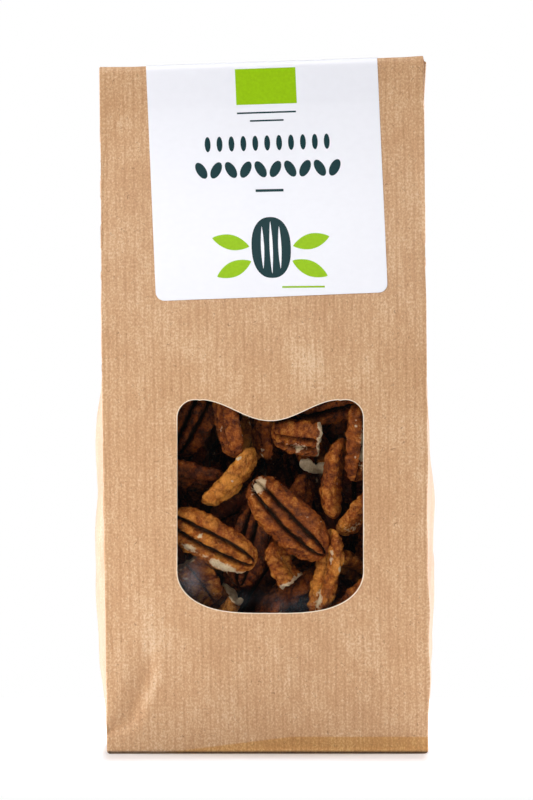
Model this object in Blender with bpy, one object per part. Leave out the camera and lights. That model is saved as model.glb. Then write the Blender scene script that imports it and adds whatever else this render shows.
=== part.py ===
"""A stand-up kraft paper bag with a die-cut window, closed by a folded top and a label, and filled
with shelled pecan halves.

The bag stands on z = 0 with its window facing -Y. It has a block bottom and side gussets, its top is
pressed flat and folded once to the back, and the label wraps over that fold. Metres, +Z up.
"""

import math
import random

import bmesh
import bpy
from mathutils import Matrix, Vector
from mathutils.bvhtree import BVHTree

MM = 0.001

# The bag: block bottom, side gussets and a pressed top
BASE_HALF_WIDTH = 54.7 * MM
TOP_HALF_WIDTH = 55.9 * MM
BASE_HALF_DEPTH = 31.0 * MM
PAPER = 0.4 * MM
BOTTOM_LAYERS = 0.8 * MM
TOP_Z = 236.8 * MM
SHOULDER_Z = 125.0 * MM
PRESSED_Z = 222.0 * MM
PRESSED_HALF = 1.0 * MM
CAVITY_TOP_Z = 208.0 * MM
GUSSET_START_Z = 122.0 * MM
GUSSET_FOLDED_Z = 195.0 * MM
BODY_HEIGHTS = [z * MM for z in (12, 30, 50, 72, 95, 112, 125, 138, 152, 166, 180, 195)]

# How the filled bag is pushed out of square
FRONT_BULGE = 2.4 * MM
FRONT_BULGE_TOP = 150.0 * MM
SIDE_BULGE_LEFT = 3.6 * MM
SIDE_BULGE_RIGHT = 2.6 * MM
SIDE_BULGE_TOP = 135.0 * MM
FOOT_SHIFT = 0.8 * MM
LEAN = 2.1 * MM
FOLD_TILT = math.tan(math.radians(2.0))

# The folded top
FOLD_INNER = 0.2 * MM
FLAP_END_Z = 203.0 * MM
FOLD_DEGREES = (0, 45, 90, 135, 180)

# The die-cut window, a shield with a dipped top edge
WINDOW_LEFT = -30.0 * MM
WINDOW_RIGHT = 33.4 * MM
WINDOW_BOTTOM = 47.8 * MM
WINDOW_SIDE_LOW = 62.0 * MM
WINDOW_HORN_Z = 120.6 * MM
WINDOW_DIP_Z = 113.4 * MM
WINDOW_HORN_RADIUS = 6.2 * MM
WINDOW_BOW = 0.62  # below 1, the lower corners are fuller than an ellipse's

# The clear film glued behind it
FILM = 0.2 * MM
GLUE_GAP = 0.4 * MM
FILM_MARGIN = 8.0 * MM

# The label, one sheet from the front over the fold to the back
LABEL_HALF_WIDTH = 39.8 * MM
LABEL_LOW_Z = 155.6 * MM
LABEL_BACK_LOW_Z = 160.0 * MM
LABEL_CORNER = 3.0 * MM
LABEL_GAP = 0.3 * MM
LABEL = 0.3 * MM
LABEL_DROP = 12.0 * MM  # below the flap's end, the height over which it comes down to the back panel

# How the halves lie
CLEARANCE = 0.35 * MM
FILL_Z = 128.0 * MM
STEP_BACK = 0.5 * MM
NUDGES = ((0, 0), (1.2, 0), (-1.2, 0), (0, 1.2), (0, -1.2), (1.8, 1.8), (-1.8, 1.8), (1.8, -1.8), (-1.8, -1.8))
NEIGHBOUR_REACH = 80.0 * MM  # halves further apart than this can't touch

# The halves against the window: (x, z) of its middle, the turn of its length up from +X, the roll
# about its length (0 shows the grooved back, 180 the inner side), the tip of its far end towards the
# window, its whole length, width and thickness, and how far behind the film it starts. Mm and degrees.
WINDOW_HALVES = [
    ("half", 6.2, 84.8, -45, 8, 0, 36, 17.4, 10.5, 0),
    ("half", -24.0, 76.2, -29, 12, 0, 34, 16.5, 10, 0),
    ("half", -15.3, 92.6, 49, 75, 0, 26, 15, 10, 0),
    ("half", 24.6, 92.0, 82, -105, 0, 28, 15, 10, 0),
    ("broken", 7.0, 66.5, -55, 120, 0, 24, 14, 9, 0),
    ("half", 18.6, 59.6, 79, 128, 0, 30, 13, 9, 0),
    ("half", 1.0, 52.0, 42, -60, 0, 30, 15, 9.5, 0),
    ("half", -5.0, 66.0, 76, -12, 0, 31, 15, 10, 0),
    ("broken", 12.4, 109.4, -4, 40, 0, 27, 15, 10, 0),
    ("half", 0.6, 114.8, -88, 70, 0, 27, 14, 9.5, 0),
    ("broken", 18.4, 101.0, -82, 150, 50, 27, 13, 9, 0),
    ("half", -11.6, 116.0, -82, 60, 0, 28, 14, 9.5, 0),
    ("half", -23.6, 111.0, 66, 0, 0, 33, 16.5, 10, 0),
    ("half", 30.8, 80.0, 52, 60, 0, 28, 14, 9.5, 0),
    ("half", 34.4, 104.5, 87, 40, 0, 28, 14, 9.5, 0),
    ("broken", -20.6, 60.4, 130, 160, 20, 27, 14, 9.5, 0),
    ("broken", -16.6, 50.0, 60, 120, 20, 24, 14, 9, 0),
    ("half", 29.5, 52.4, 35, 30, 0, 29, 15, 10, 0),
    ("broken", 27.4, 61.8, 160, 120, 20, 26, 14, 9, 0),
    ("half", -29.5, 94.5, -12, 60, 0, 28, 14, 9.5, 1),
    ("half", -12.6, 61.0, 100, 60, 0, 27, 14, 9.5, 2),
    ("half", 36.0, 69.0, 85, 10, 0, 30, 15, 10, 1),
    ("half", -10.4, 84.0, 20, 200, 0, 31, 15, 10, 3),
    ("half", 23.0, 117.4, 14, 20, 0, 32, 16, 10, 2),
    ("broken", -5.4, 109.6, 82, 150, 10, 26, 13, 9, 2),
    ("half", 14.0, 96.0, -70, 30, 0, 31, 15, 10, 5),
    ("half", 9.0, 53.5, -80, 20, 0, 31, 15, 10, 4),
    ("half", -31.5, 66.0, 80, -20, 0, 31, 15, 10, 3),
]

# The halves behind them: the best of a few tries for each cell of a loose grid
BACK_COLUMNS = (-27.0, -9.5, 8.5, 26.5)
BACK_ROWS = (55.0, 72.0, 89.0, 105.0, 119.0)
BACK_START = 9.0
BACK_SIZE = (31.5, 15.5, 9.8)
BACK_JITTER = 4.0
BACK_TRIES = 8
SEED = 11

# Cross-section of a half as (across, up) shares: three lobes and two grooves on the back, and a
# shallow hollow on the inner side. The grooves fade to the flank value where the nut ends.
SECTION = [
    (-1.00, -0.05),
    (-0.82, 0.52),
    (-0.52, 0.80),
    (-0.30, 0.40),
    (0.00, 0.92),
    (0.30, 0.40),
    (0.52, 0.80),
    (0.82, 0.52),
    (1.00, -0.05),
    (0.55, -0.46),
    (0.00, -0.16),
    (-0.55, -0.46),
]
BLUNT_END = 3.0
POINTED_END = 2.4
END_ROUNDING = 0.45
ARCH = 0.16  # of its thickness
BROKEN_LEFT = 0.66  # the share of its length that is left of a broken one
BROKEN_RUN = 0.12  # no station is nearer to the broken end than this
GROOVES = {3: 0.78, 5: 0.78, 10: -0.42}
STATIONS = (-0.95, -0.76, -0.36, 0.14, 0.6, 0.9)

# The rest of the fill
HEAP_CELL = 9.0 * MM
HEAP_COLUMNS = 5  # on each side of the middle
HEAP_ROWS = 14
HEAP_LUMPS = (0.5 * MM, 2.5 * MM)
HEAP_REACH = 2.1 * HEAP_CELL
HEAP_BACK_GAP = 1.2 * MM

# (colour, roughness) of each material
KRAFT_PAPER = ((0.60, 0.37, 0.21), 0.85)
CLEAR_FILM = ((0.90, 0.92, 0.94), 0.08)
COATED_PAPER = ((0.93, 0.93, 0.95), 0.35)
PECAN = ((0.33, 0.15, 0.05), 0.45)
PECAN_HEAP = ((0.24, 0.11, 0.04), 0.6)


def ease(t):
    t = min(max(t, 0.0), 1.0)
    return t * t * (3 - 2 * t)


def half_width(z):
    return BASE_HALF_WIDTH + (TOP_HALF_WIDTH - BASE_HALF_WIDTH) * ease(z / TOP_Z)


def half_depth(z):
    """Half the depth between the panels' edges: full over the nuts, closing to the pressed top."""
    t = min(max((z - SHOULDER_Z) / (PRESSED_Z - SHOULDER_Z), 0.0), 1.0)
    closing = 0.6 * ease(t) + 0.4 * t
    return BASE_HALF_DEPTH + (PRESSED_HALF - BASE_HALF_DEPTH) * closing


def panel_bulge(across, z):
    """How far the nuts push the front or back panel out, across from -1 to 1."""
    up = math.sin(math.pi * min(z / FRONT_BULGE_TOP, 1.0))
    return FRONT_BULGE * (1 - across * across) * up


def gusset_fold(z):
    """How far the gusset's centre crease is folded inwards."""
    t = (z - GUSSET_START_Z) / (GUSSET_FOLDED_Z - GUSSET_START_Z)
    return BASE_HALF_DEPTH * ease(t)


def side_bulge(side, z):
    most = SIDE_BULGE_RIGHT if side > 0 else SIDE_BULGE_LEFT
    return most * math.sin(math.pi * min(z / SIDE_BULGE_TOP, 1.0))


def stand(x, y, z):
    """A point of the square bag, moved as the real one leans, with its fold a little out of level."""
    above = ease((z - SHOULDER_Z) / (TOP_Z - SHOULDER_Z))
    return Vector((x + FOOT_SHIFT - LEAN * z / TOP_Z, y, z + FOLD_TILT * x * above))


def shares(count):
    return [-1 + 2 * i / count for i in range(count + 1)]


PANEL_SHARES = shares(8)
GUSSET_STEPS = (0.25, 0.5, 0.75)


def gusset(side, z, inset, corner, deep):
    """The three points between a gusset's front and back edges: flank, crease and flank."""
    crease = half_width(z) - gusset_fold(z) - deep
    points = []
    for step in GUSSET_STEPS:
        fold = 1 - abs(2 * step - 1)
        out = side_bulge(side, z) * math.sin(math.pi * step)
        x = corner + (crease - corner) * fold + out
        points.append((side * x, (2 * step - 1) * (half_depth(z) - inset)))
    return points


def body_ring(z, inset=0.0):
    """One turn round the bag at height z. With an inset, the inside of paper that thick."""
    wedge = math.atan2(half_depth(z), gusset_fold(z))
    corner = half_width(z) - (inset / math.tan(wedge / 2) if inset else 0.0)
    deep = inset / math.sin(wedge)
    flat = [(a * corner, half_depth(z) - inset + panel_bulge(a, z)) for a in PANEL_SHARES]
    right = gusset(1, z, inset, corner, deep)
    left = gusset(-1, z, inset, corner, deep)
    turn = [(x, -y) for x, y in flat] + right + flat[::-1] + left[::-1]
    return [stand(x, y, z) for x, y in turn]


def fold_place(turn, layer):
    """(y, z) on the fold: turn from 0 at the front to pi at the back, layer 0 outside and 1 inside."""
    outer = FOLD_INNER + 2 * PRESSED_HALF
    radius = outer + (FOLD_INNER - outer) * layer
    y = PRESSED_HALF + FOLD_INNER - radius * math.cos(turn)
    return y, TOP_Z - outer + radius * math.sin(turn)


def flap_place(z, layer):
    """(y, z) on the flap that hangs down the back, layer 0 facing out and 1 facing the panel."""
    inner = half_depth(z) + 2 * FOLD_INNER
    return inner + 2 * PRESSED_HALF * (1 - layer), z


def flap_shift(z):
    """A fold out of level swings the flap to one side."""
    return 2 * FOLD_TILT * (TOP_Z - z)


def fold_shift(turn, z):
    """The same swing on the fold, which starts at its top."""
    return flap_shift(z) if turn >= math.pi / 2 else 0.0


def folded_ring(place, at, shift=0.0):
    """One turn round the pressed stack of paper, where place gives (y, z) for each layer."""
    turn = [(a, 0.0) for a in PANEL_SHARES] + [(1.0, s) for s in GUSSET_STEPS]
    turn += [(a, 1.0) for a in PANEL_SHARES[::-1]] + [(-1.0, 1 - s) for s in GUSSET_STEPS]
    ring = []
    for across, layer in turn:
        y, z = place(at, layer)
        ring.append(stand(across * TOP_HALF_WIDTH + shift, y, z))
    return ring


def solid_object(name, points, faces, finish):
    mesh = bpy.data.meshes.new(name)
    mesh.from_pydata(points, [], faces)
    work = bmesh.new()
    work.from_mesh(mesh)
    bmesh.ops.recalc_face_normals(work, faces=work.faces)
    work.to_mesh(mesh)
    work.free()
    obj = bpy.data.objects.new(name, mesh)
    bpy.context.scene.collection.objects.link(obj)
    mesh.materials.append(material_of(name, *finish))
    return obj


def material_of(name, colour, roughness):
    material = bpy.data.materials.new(name)
    material.use_nodes = True
    shader = material.node_tree.nodes["Principled BSDF"]
    shader.inputs["Base Color"].default_value = (*colour, 1.0)
    shader.inputs["Roughness"].default_value = roughness
    shader.inputs["Metallic"].default_value = 0.0
    return material


def loft(rings):
    """Points and faces of a closed tube through the rings, with a flat cap on each end."""
    count = len(rings[0])
    points = [p for ring in rings for p in ring]
    faces = [list(range(count)), list(range((len(rings) - 1) * count, len(rings) * count))]
    for row in range(len(rings) - 1):
        for i in range(count):
            j = (i + 1) % count
            low, high = row * count, (row + 1) * count
            faces.append((low + i, low + j, high + j, high + i))
    return points, faces


def cut(obj, name, rings):
    """Cuts the closed tube through the rings out of the object."""
    cutter = solid_object(name, *loft(rings), KRAFT_PAPER)
    cutter.hide_render = True
    cutter.display_type = "WIRE"
    modifier = obj.modifiers.new(name, "BOOLEAN")
    modifier.operation = "DIFFERENCE"
    modifier.solver = "EXACT"
    modifier.object = cutter


def arc(centre, radius, start, end, count):
    """Points on an arc in the window's plane, from start to end in degrees."""
    found = []
    for i in range(count + 1):
        angle = math.radians(start + (end - start) * i / count)
        found.append((centre[0] + radius * math.cos(angle), centre[1] + radius * math.sin(angle)))
    return found


def window_outline():
    """The window's edge, anticlockwise from its lower left."""
    middle = (WINDOW_LEFT + WINDOW_RIGHT) / 2
    half = (WINDOW_RIGHT - WINDOW_LEFT) / 2
    rise = WINDOW_SIDE_LOW - WINDOW_BOTTOM
    points = []
    for i in range(15):
        angle = math.pi * (1 + i / 14)
        bow = abs(math.cos(angle)) ** WINDOW_BOW * math.copysign(1, math.cos(angle))
        points.append((middle + half * bow, WINDOW_SIDE_LOW + rise * math.sin(angle)))
    horn = WINDOW_HORN_Z - WINDOW_HORN_RADIUS
    points += arc((WINDOW_RIGHT - WINDOW_HORN_RADIUS, horn), WINDOW_HORN_RADIUS, 0, 105, 6)
    reach = half - 1.25 * WINDOW_HORN_RADIUS
    for i in range(1, 12):
        share = 1 - 2 * i / 12
        dip = 0.5 + 0.5 * math.cos(math.pi * share)
        z = WINDOW_HORN_Z - (WINDOW_HORN_Z - WINDOW_DIP_Z) * dip
        points.append((middle + reach * share, z))
    points += arc((WINDOW_LEFT + WINDOW_HORN_RADIUS, horn), WINDOW_HORN_RADIUS, 75, 180, 6)
    return points


def paper_bag():
    """The bag: a closed tube over the fold and down the flap, then hollowed, then its window cut."""
    rings = [body_ring(z) for z in [0, *BODY_HEIGHTS, CAVITY_TOP_Z, 216 * MM]]
    rings.append(folded_ring(lambda z, layer: (PRESSED_HALF * (2 * layer - 1), z), PRESSED_Z))
    for turn in map(math.radians, FOLD_DEGREES):
        rings.append(folded_ring(fold_place, turn, fold_shift(turn, fold_place(turn, 0)[1])))
    for z in (PRESSED_Z, 212 * MM, FLAP_END_Z):
        rings.append(folded_ring(flap_place, z, flap_shift(z)))
    bag = solid_object("paper_bag", *loft(rings), KRAFT_PAPER)
    cut(bag, "cavity", [body_ring(z, PAPER) for z in [BOTTOM_LAYERS, *BODY_HEIGHTS, CAVITY_TOP_Z]])
    depths = (-BASE_HALF_DEPTH - 12 * MM, -BASE_HALF_DEPTH + 8 * MM)
    cut(bag, "window", [[(x, y, z) for x, z in window_outline()] for y in depths])


def slab(name, columns, rows, near, far, finish):
    """A thin sheet through near(column, row) on one face and far(column, row) on the other."""
    points, faces = [], []
    wide, tall = len(columns), len(rows)
    for surface in (near, far):
        points += [surface(c, r) for r in rows for c in columns]
    back = wide * tall
    for r in range(tall - 1):
        for c in range(wide - 1):
            quad = (r * wide + c, r * wide + c + 1, (r + 1) * wide + c + 1, (r + 1) * wide + c)
            faces += [quad, tuple(back + i for i in quad[::-1])]
    edge = list(range(wide)) + [r * wide + wide - 1 for r in range(1, tall)]
    edge += [back - 1 - c for c in range(1, wide)] + [r * wide for r in range(tall - 2, 0, -1)]
    for i, start in enumerate(edge):
        end = edge[(i + 1) % len(edge)]
        faces.append((start, end, back + end, back + start))
    solid_object(name, points, faces, finish)


def film_face(offset):
    """The film's surface, offset inwards from the front panel's outer face."""

    def place(x, z):
        y = -half_depth(z) - panel_bulge(x / half_width(z), z) + offset
        return stand(x, y, z)

    return place


def window_film():
    left, right = WINDOW_LEFT - FILM_MARGIN, WINDOW_RIGHT + FILM_MARGIN
    low, high = WINDOW_BOTTOM - FILM_MARGIN, WINDOW_HORN_Z + FILM_MARGIN
    columns = [left + (right - left) * i / 8 for i in range(9)]
    rows = [low + (high - low) * i / 6 for i in range(7)]
    front = PAPER + GLUE_GAP
    slab("window_film", columns, rows, film_face(front), film_face(front + FILM), CLEAR_FILM)


def label_stations():
    """(kind, at, distance from the nearer end) along the label, from its front edge to its back edge."""
    corner = (0.0, 0.15, 0.5, 1.0)
    front = [("front", LABEL_LOW_Z + c * LABEL_CORNER, c) for c in corner]
    front += [("front", z * MM, 1.0) for z in (166, 180, 195, 208, 222)]
    over = [("over", math.radians(d), 1.0) for d in (0, 30, 60, 90, 120, 150, 180)]
    back = [("back", z * MM, 1.0) for z in (222, 212, 203, 198, 190, 178)]
    back += [("back", LABEL_BACK_LOW_Z + c * LABEL_CORNER, c) for c in corner[::-1]]
    return front + over + back


def label_place(kind, at, offset):
    """(x shift, y, z) of the label's face at a station, offset out from the paper below it."""
    if kind == "front":
        return 0.0, -half_depth(at) - offset, at
    if kind == "over":
        outer = FOLD_INNER + 2 * PRESSED_HALF
        radius = outer + offset
        y = PRESSED_HALF + FOLD_INNER - radius * math.cos(at)
        z = TOP_Z - outer + radius * math.sin(at)
        return fold_shift(at, z), y, z
    stack = 2 * PRESSED_HALF + 2 * FOLD_INNER
    past_flap = ease((FLAP_END_Z - at) / LABEL_DROP)
    return flap_shift(at), half_depth(at) + stack * (1 - past_flap) + offset, at


def seal_label():
    stations = label_stations()

    def face(offset):
        def place(across, station):
            kind, at, corner = station
            shift, y, z = label_place(kind, at, offset)
            trim = LABEL_CORNER * (1 - math.sqrt(1 - (1 - corner) ** 2))
            lean = FOLD_TILT * (TOP_Z - z) * (1 if kind == "front" else 0)
            return stand(across * (LABEL_HALF_WIDTH - trim) + shift + lean, y, z)

        return place

    slab("seal_label", shares(4), stations, face(LABEL_GAP), face(LABEL_GAP + LABEL), COATED_PAPER)


def half_rings(length, width, thickness, left):
    """Rings of a pecan half about its own middle: length on X, width on Y, grooved back to +Z.
    left is the share of its length that remains."""
    end = -1 + 2 * left
    stations = [s for s in STATIONS if s < end - BROKEN_RUN]
    if left < 1:
        stations.append(end)
    rings = []
    for at in stations:
        swell = (1 - abs(at) ** (BLUNT_END if at < 0 else POINTED_END)) ** END_ROUNDING
        arch = -ARCH * thickness * (at * at - 0.3)
        ring = []
        for i, (across, up) in enumerate(SECTION):
            up += (GROOVES.get(i, up) - up) * at**4
            flat = up * thickness / 2 * (0.35 + 0.65 * swell) * min(1.0, swell * 1.4)
            ring.append(Vector((at * length / 2, across * width / 2 * swell, flat + arch)))
        rings.append(ring)
    return rings


def half_mesh(length, width, thickness, left):
    """Points and faces of a pecan half, round at whole ends and flat where it is broken."""
    rings = half_rings(length, width, thickness, left)
    count = len(SECTION)
    points = [p for ring in rings for p in ring]
    faces = []
    for row in range(len(rings) - 1):
        for i in range(count):
            j = (i + 1) % count
            low, high = row * count, (row + 1) * count
            faces.append((low + i, low + j, high + j, high + i))
    ends = [(-1.0, 0)]
    if left == 1:
        ends.append((1.0, len(rings) - 1))
    else:
        faces.append(tuple(range((len(rings) - 1) * count, len(rings) * count)))
    for side, row in ends:
        middle = sum(rings[row], Vector()) / count
        points.append(Vector((side * length / 2, 0, middle.z)))
        tip = len(points) - 1
        faces += [(row * count + i, row * count + (i + 1) % count, tip) for i in range(count)]
    return points, faces


def half_turned(turn, roll, tip):
    """The rotation that faces a half's back to the window, then rolls, tips and turns it."""
    face_window = Matrix.Rotation(math.radians(90), 3, "X")
    rolled = Matrix.Rotation(math.radians(roll), 3, "X")
    tipped = Matrix.Rotation(math.radians(-tip), 3, "Z")
    turned = Matrix.Rotation(math.radians(-turn), 3, "Y")
    return turned @ tipped @ rolled @ face_window


def grown(points):
    """The points pushed out from their middle by half the clearance that two halves keep."""
    middle = sum(points, Vector()) / len(points)
    return [p + (p - middle).normalized() * CLEARANCE for p in points]


class Nut:
    """A half or a broken one, turned as it lies, with its middle at (x, 0, z)."""

    def __init__(self, kind, x, z, turn, roll, tip, size):
        length, width, thickness = (side * MM for side in size)
        self.kind = kind
        points, self.faces = half_mesh(length, width, thickness, BROKEN_LEFT if kind == "broken" else 1)
        middle = sum(points, Vector()) / len(points)
        rotation = half_turned(turn, roll, tip)
        place = Vector((x * MM, 0, z * MM))
        self.points = [rotation @ (p - middle) + place for p in points]

    def moved(self, step):
        return [p + step for p in self.points]

    def shell(self, step):
        """The moved half, grown, for finding what it touches."""
        triangles = [(f[0], f[i], f[i + 1]) for f in self.faces for i in range(1, len(f) - 1)]
        return BVHTree.FromPolygons(grown(self.moved(step)), triangles)


class Pile:
    """The halves laid so far. Each new one starts near the film and moves back until it is clear."""

    def __init__(self):
        self.laid = []
        self.points = []

    def settled(self, nut, start):
        """Where the nut comes to rest: the nudge that leaves it nearest to the film."""
        best = None
        for across, up in NUDGES:
            nudge = Vector((across * MM, 0, up * MM))
            found = self.pushed_back(nut, nudge, start, best)
            if found and (best is None or found.y < best.y):
                best = found
        return best

    def pushed_back(self, nut, step, start, best):
        clear_face = film_face(PAPER + GLUE_GAP + FILM + CLEARANCE)
        here = nut.moved(step)
        step.y = start * MM + max(clear_face(p.x, p.z).y - p.y for p in here)
        while best is None or step.y < best.y:
            shell, first = nut.shell(step), nut.points[0] + step
            near = [other for at, other in self.laid if (first - at).length < NEIGHBOUR_REACH]
            if not any(shell.overlap(other) for other in near):
                return step
            step = step + Vector((0, STEP_BACK, 0))
        return None

    def lay(self, nut, step):
        here = nut.moved(step)
        self.laid.append((here[0], nut.shell(step)))
        self.points += here
        solid_object(f"pecan_{nut.kind}_{len(self.laid):02d}", here, nut.faces, PECAN)


def back_nut(pile, across, up, chance):
    """The try that comes to rest nearest to the film."""
    tries = []
    for _ in range(BACK_TRIES):
        x = across + chance.uniform(-BACK_JITTER, BACK_JITTER)
        z = up + chance.uniform(-BACK_JITTER, BACK_JITTER)
        roll = chance.choice((0, 20, -30, 60, 180))
        nut = Nut("half", x, z, chance.uniform(0, 180), roll, chance.uniform(-14, 14), BACK_SIZE)
        tries.append((pile.settled(nut, BACK_START), nut))
    return min(tries, key=lambda found: found[0].y)


def pecan_halves():
    """The halves that can be told apart through the window, and those just behind them."""
    pile = Pile()
    for kind, x, z, turn, roll, tip, *size, start in WINDOW_HALVES:
        nut = Nut(kind, x, z, turn, roll, tip, size)
        pile.lay(nut, pile.settled(nut, start))
    chance = random.Random(SEED)
    for up in BACK_ROWS:
        for across in BACK_COLUMNS:
            step, nut = back_nut(pile, across, up, chance)
            pile.lay(nut, step)
    return pile.points


def pecan_heap(front_points):
    """The rest of the fill as one lumpy mass: behind the window's halves, and up to the front panel
    below and beside them."""
    columns = [HEAP_CELL * i for i in range(-HEAP_COLUMNS, HEAP_COLUMNS + 1)]
    low = BOTTOM_LAYERS + 1 * MM
    rows = [low + (FILL_Z - BOTTOM_LAYERS) * i / HEAP_ROWS for i in range(HEAP_ROWS + 1)]
    chance = random.Random(SEED + 1)
    lumps = {}

    def front(x, z):
        if (x, z) not in lumps:
            lumps[x, z] = chance.uniform(*HEAP_LUMPS)
        base = film_face(PAPER + GLUE_GAP + FILM + CLEARANCE)(x, z).y
        near = [p.y for p in front_points if max(abs(p.x - x), abs(p.z - z)) < HEAP_REACH]
        return stand(x, max([base, *near]) + lumps[x, z], z)

    def back(x, z):
        y = half_depth(z) - PAPER + panel_bulge(x / half_width(z), z) - HEAP_BACK_GAP - lumps[x, z] / 2
        return stand(x, y, z)

    slab("pecan_heap", columns, rows, front, back, PECAN_HEAP)


def clear_scene():
    for obj in list(bpy.data.objects):
        bpy.data.objects.remove(obj, do_unlink=True)


def main():
    clear_scene()
    paper_bag()
    window_film()
    seal_label()
    pecan_heap(pecan_halves())


main()
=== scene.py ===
import math
import random

import bmesh
import bpy
import numpy as np
from mathutils import Matrix, Vector, noise
from mathutils.bvhtree import BVHTree


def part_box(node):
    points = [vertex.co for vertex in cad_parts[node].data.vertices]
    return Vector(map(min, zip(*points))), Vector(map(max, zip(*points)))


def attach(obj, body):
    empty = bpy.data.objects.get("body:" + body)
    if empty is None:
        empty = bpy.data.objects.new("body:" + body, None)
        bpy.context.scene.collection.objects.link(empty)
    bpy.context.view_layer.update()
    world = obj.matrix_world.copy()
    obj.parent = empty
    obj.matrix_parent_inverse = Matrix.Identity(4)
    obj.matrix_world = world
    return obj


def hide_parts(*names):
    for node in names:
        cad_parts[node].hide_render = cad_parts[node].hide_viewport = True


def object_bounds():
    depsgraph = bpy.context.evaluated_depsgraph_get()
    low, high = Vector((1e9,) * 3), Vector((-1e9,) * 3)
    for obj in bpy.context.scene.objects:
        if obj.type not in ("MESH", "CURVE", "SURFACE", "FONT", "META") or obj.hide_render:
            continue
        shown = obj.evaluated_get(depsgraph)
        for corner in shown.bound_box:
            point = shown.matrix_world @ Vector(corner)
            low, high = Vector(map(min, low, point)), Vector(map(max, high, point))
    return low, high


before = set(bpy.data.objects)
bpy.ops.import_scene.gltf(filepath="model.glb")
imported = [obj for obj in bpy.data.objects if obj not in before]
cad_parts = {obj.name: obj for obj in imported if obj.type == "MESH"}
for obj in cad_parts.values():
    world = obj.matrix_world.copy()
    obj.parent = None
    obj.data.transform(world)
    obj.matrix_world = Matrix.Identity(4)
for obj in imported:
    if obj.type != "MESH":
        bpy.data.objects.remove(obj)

mm = 0.001
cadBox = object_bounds()
filmLow, filmHigh = (np.array(corner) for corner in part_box("window_film"))

# The bag's sheet, in mm, with the size and the folds of the CAD bag
bagShape = {
    "baseHalfWidth": 54.7,
    "topHalfWidth": 55.9,
    "halfDepth": 31.0,
    "paper": 0.3,
    "shoulder": 125.0,
    "pressedAt": 222.0,
    "pressedHalf": 1.0,
    "foldStart": 234.2,
    "foldTop": 236.8,
    "foldInner": 0.2,
    "flapEnd": 203.0,
    "gussetStart": 122.0,
    "gussetFolded": 195.0,
    "frontBulge": 2.4,
    "frontBulgeTop": 150.0,
    "leftBulge": 3.6,
    "rightBulge": 2.6,
    "sideBulgeTop": 135.0,
    "footShift": 0.8,
    "lean": 2.1,
    "foldTiltDegrees": 2.0,
    "ear": 1.3,
    "earDrop": 3.4,  # below the fold
    "earReach": 1.9,
    "edgeRadius": 1.2,  # how sharply the panels turn under at the floor
    "creaseSoftness": 0.45,  # how round a crease in this paper is
    "gridStep": 1.8,
    "footRows": (0.0, 0.08, 0.25, 0.5, 0.8, 1.3, 1.9, 2.6, 3.4, 4.2, 5.0, 5.6, 5.9, 6.3, 7.0, 8.2),
    "besideCrease": (-0.9, -0.45, -0.2, 0.2, 0.45, 0.9),  # extra columns
}

# What handling and the nuts did to the paper, in mm
bagWear = {
    "waves": ((0.30, 30.0), (0.13, 11.0), (0.05, 4.5)),  # (height, width)
    "nutLumps": (0.55, 17.0),
    "sideLumps": 2.0,  # times as high on the side panels
    "fill": (4.0, 10.0, 128.0, 14.0),  # the lumps' start, over how much they grow, end, and fade
    # The paper is calmer round the window
    "calm": {"share": 0.6, "height": 84.0, "radius": 70.0, "fade": 20.0, "squash": 1.3},
    "seamAt": 12.0,  # the glued seam down the back, from the back's middle
    "seamWidth": 13.0,
    "seamStep": 0.22,
    "turnUnder": (0.2, 5.9),  # heights of the strip that turns under at the front foot
    "turnUnderAcross": (-38.0, 8.0),  # and where it has them
    "turnUnderSlope": 0.23,
    "pressedFrom": (196.0, 20.0),  # smoother from this height, over this much
    "labelled": (152.0, 6.0, 44.0, 5.0),  # and under the label: height, fade, half width, fade
}

tilt = math.tan(math.radians(bagShape["foldTiltDegrees"]))


def linear(hexColour):
    parts = [int(hexColour[i : i + 2], 16) / 255 for i in (1, 3, 5)]
    return [c / 12.92 if c <= 0.04045 else ((c + 0.055) / 1.055) ** 2.4 for c in parts] + [1.0]


def setInputs(node, links):
    # links gives each input, by name or number, a value, or the node or socket it comes from
    for name, value in links.items():
        if isinstance(value, bpy.types.Node):
            value = value.outputs[0]
        if isinstance(value, bpy.types.NodeSocket):
            node.id_data.links.new(value, node.inputs[name])
        else:
            node.inputs[name].default_value = value


def addNode(tree, kind, links=None, **settings):
    node = tree.nodes.new("ShaderNode" + kind)
    for name, value in settings.items():
        setattr(node, name, value)
    setInputs(node, links or {})
    return node


def setStops(ramp, first, middle, last):
    # Each stop is (position, hex colour)
    stops = ramp.color_ramp.elements
    for stop, (position, colour) in ((stops[0], first), (stops[1], last)):
        stop.position, stop.color = position, linear(colour)
    stops.new(middle[0]).color = linear(middle[1])


def newMaterial(name):
    material = bpy.data.materials.new(name)
    material.use_nodes = True
    tree = material.node_tree
    return material, tree, tree.nodes["Principled BSDF"]


def ease(t):
    t = np.clip(t, 0.0, 1.0)
    return t * t * (3 - 2 * t)


def newObject(name, points, faces, material, uv=None, marks=None):
    mesh = bpy.data.meshes.new(name)
    mesh.from_pydata([tuple(p) for p in points], [], [tuple(int(i) for i in f) for f in faces])
    mesh.update()
    if uv is not None:
        layer = mesh.uv_layers.new(name="sheet")
        index = np.empty(len(mesh.loops), np.int32)
        mesh.loops.foreach_get("vertex_index", index)
        layer.data.foreach_set("uv", np.asarray(uv, np.float32)[index].ravel())
    for markName, values in (marks or {}).items():
        values = np.asarray(values, np.float32)
        kind, field = ("FLOAT", "value") if values.ndim == 1 else ("FLOAT_VECTOR", "vector")
        mesh.attributes.new(markName, kind, "POINT").data.foreach_set(field, values.ravel())
    mesh.materials.append(material)
    mesh.shade_smooth()
    obj = bpy.data.objects.new(name, mesh)
    bpy.context.scene.collection.objects.link(obj)
    return obj


def placed(obj, slot, *nodes):
    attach(obj, "root")
    if nodes:
        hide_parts(*nodes)
    return obj


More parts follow.
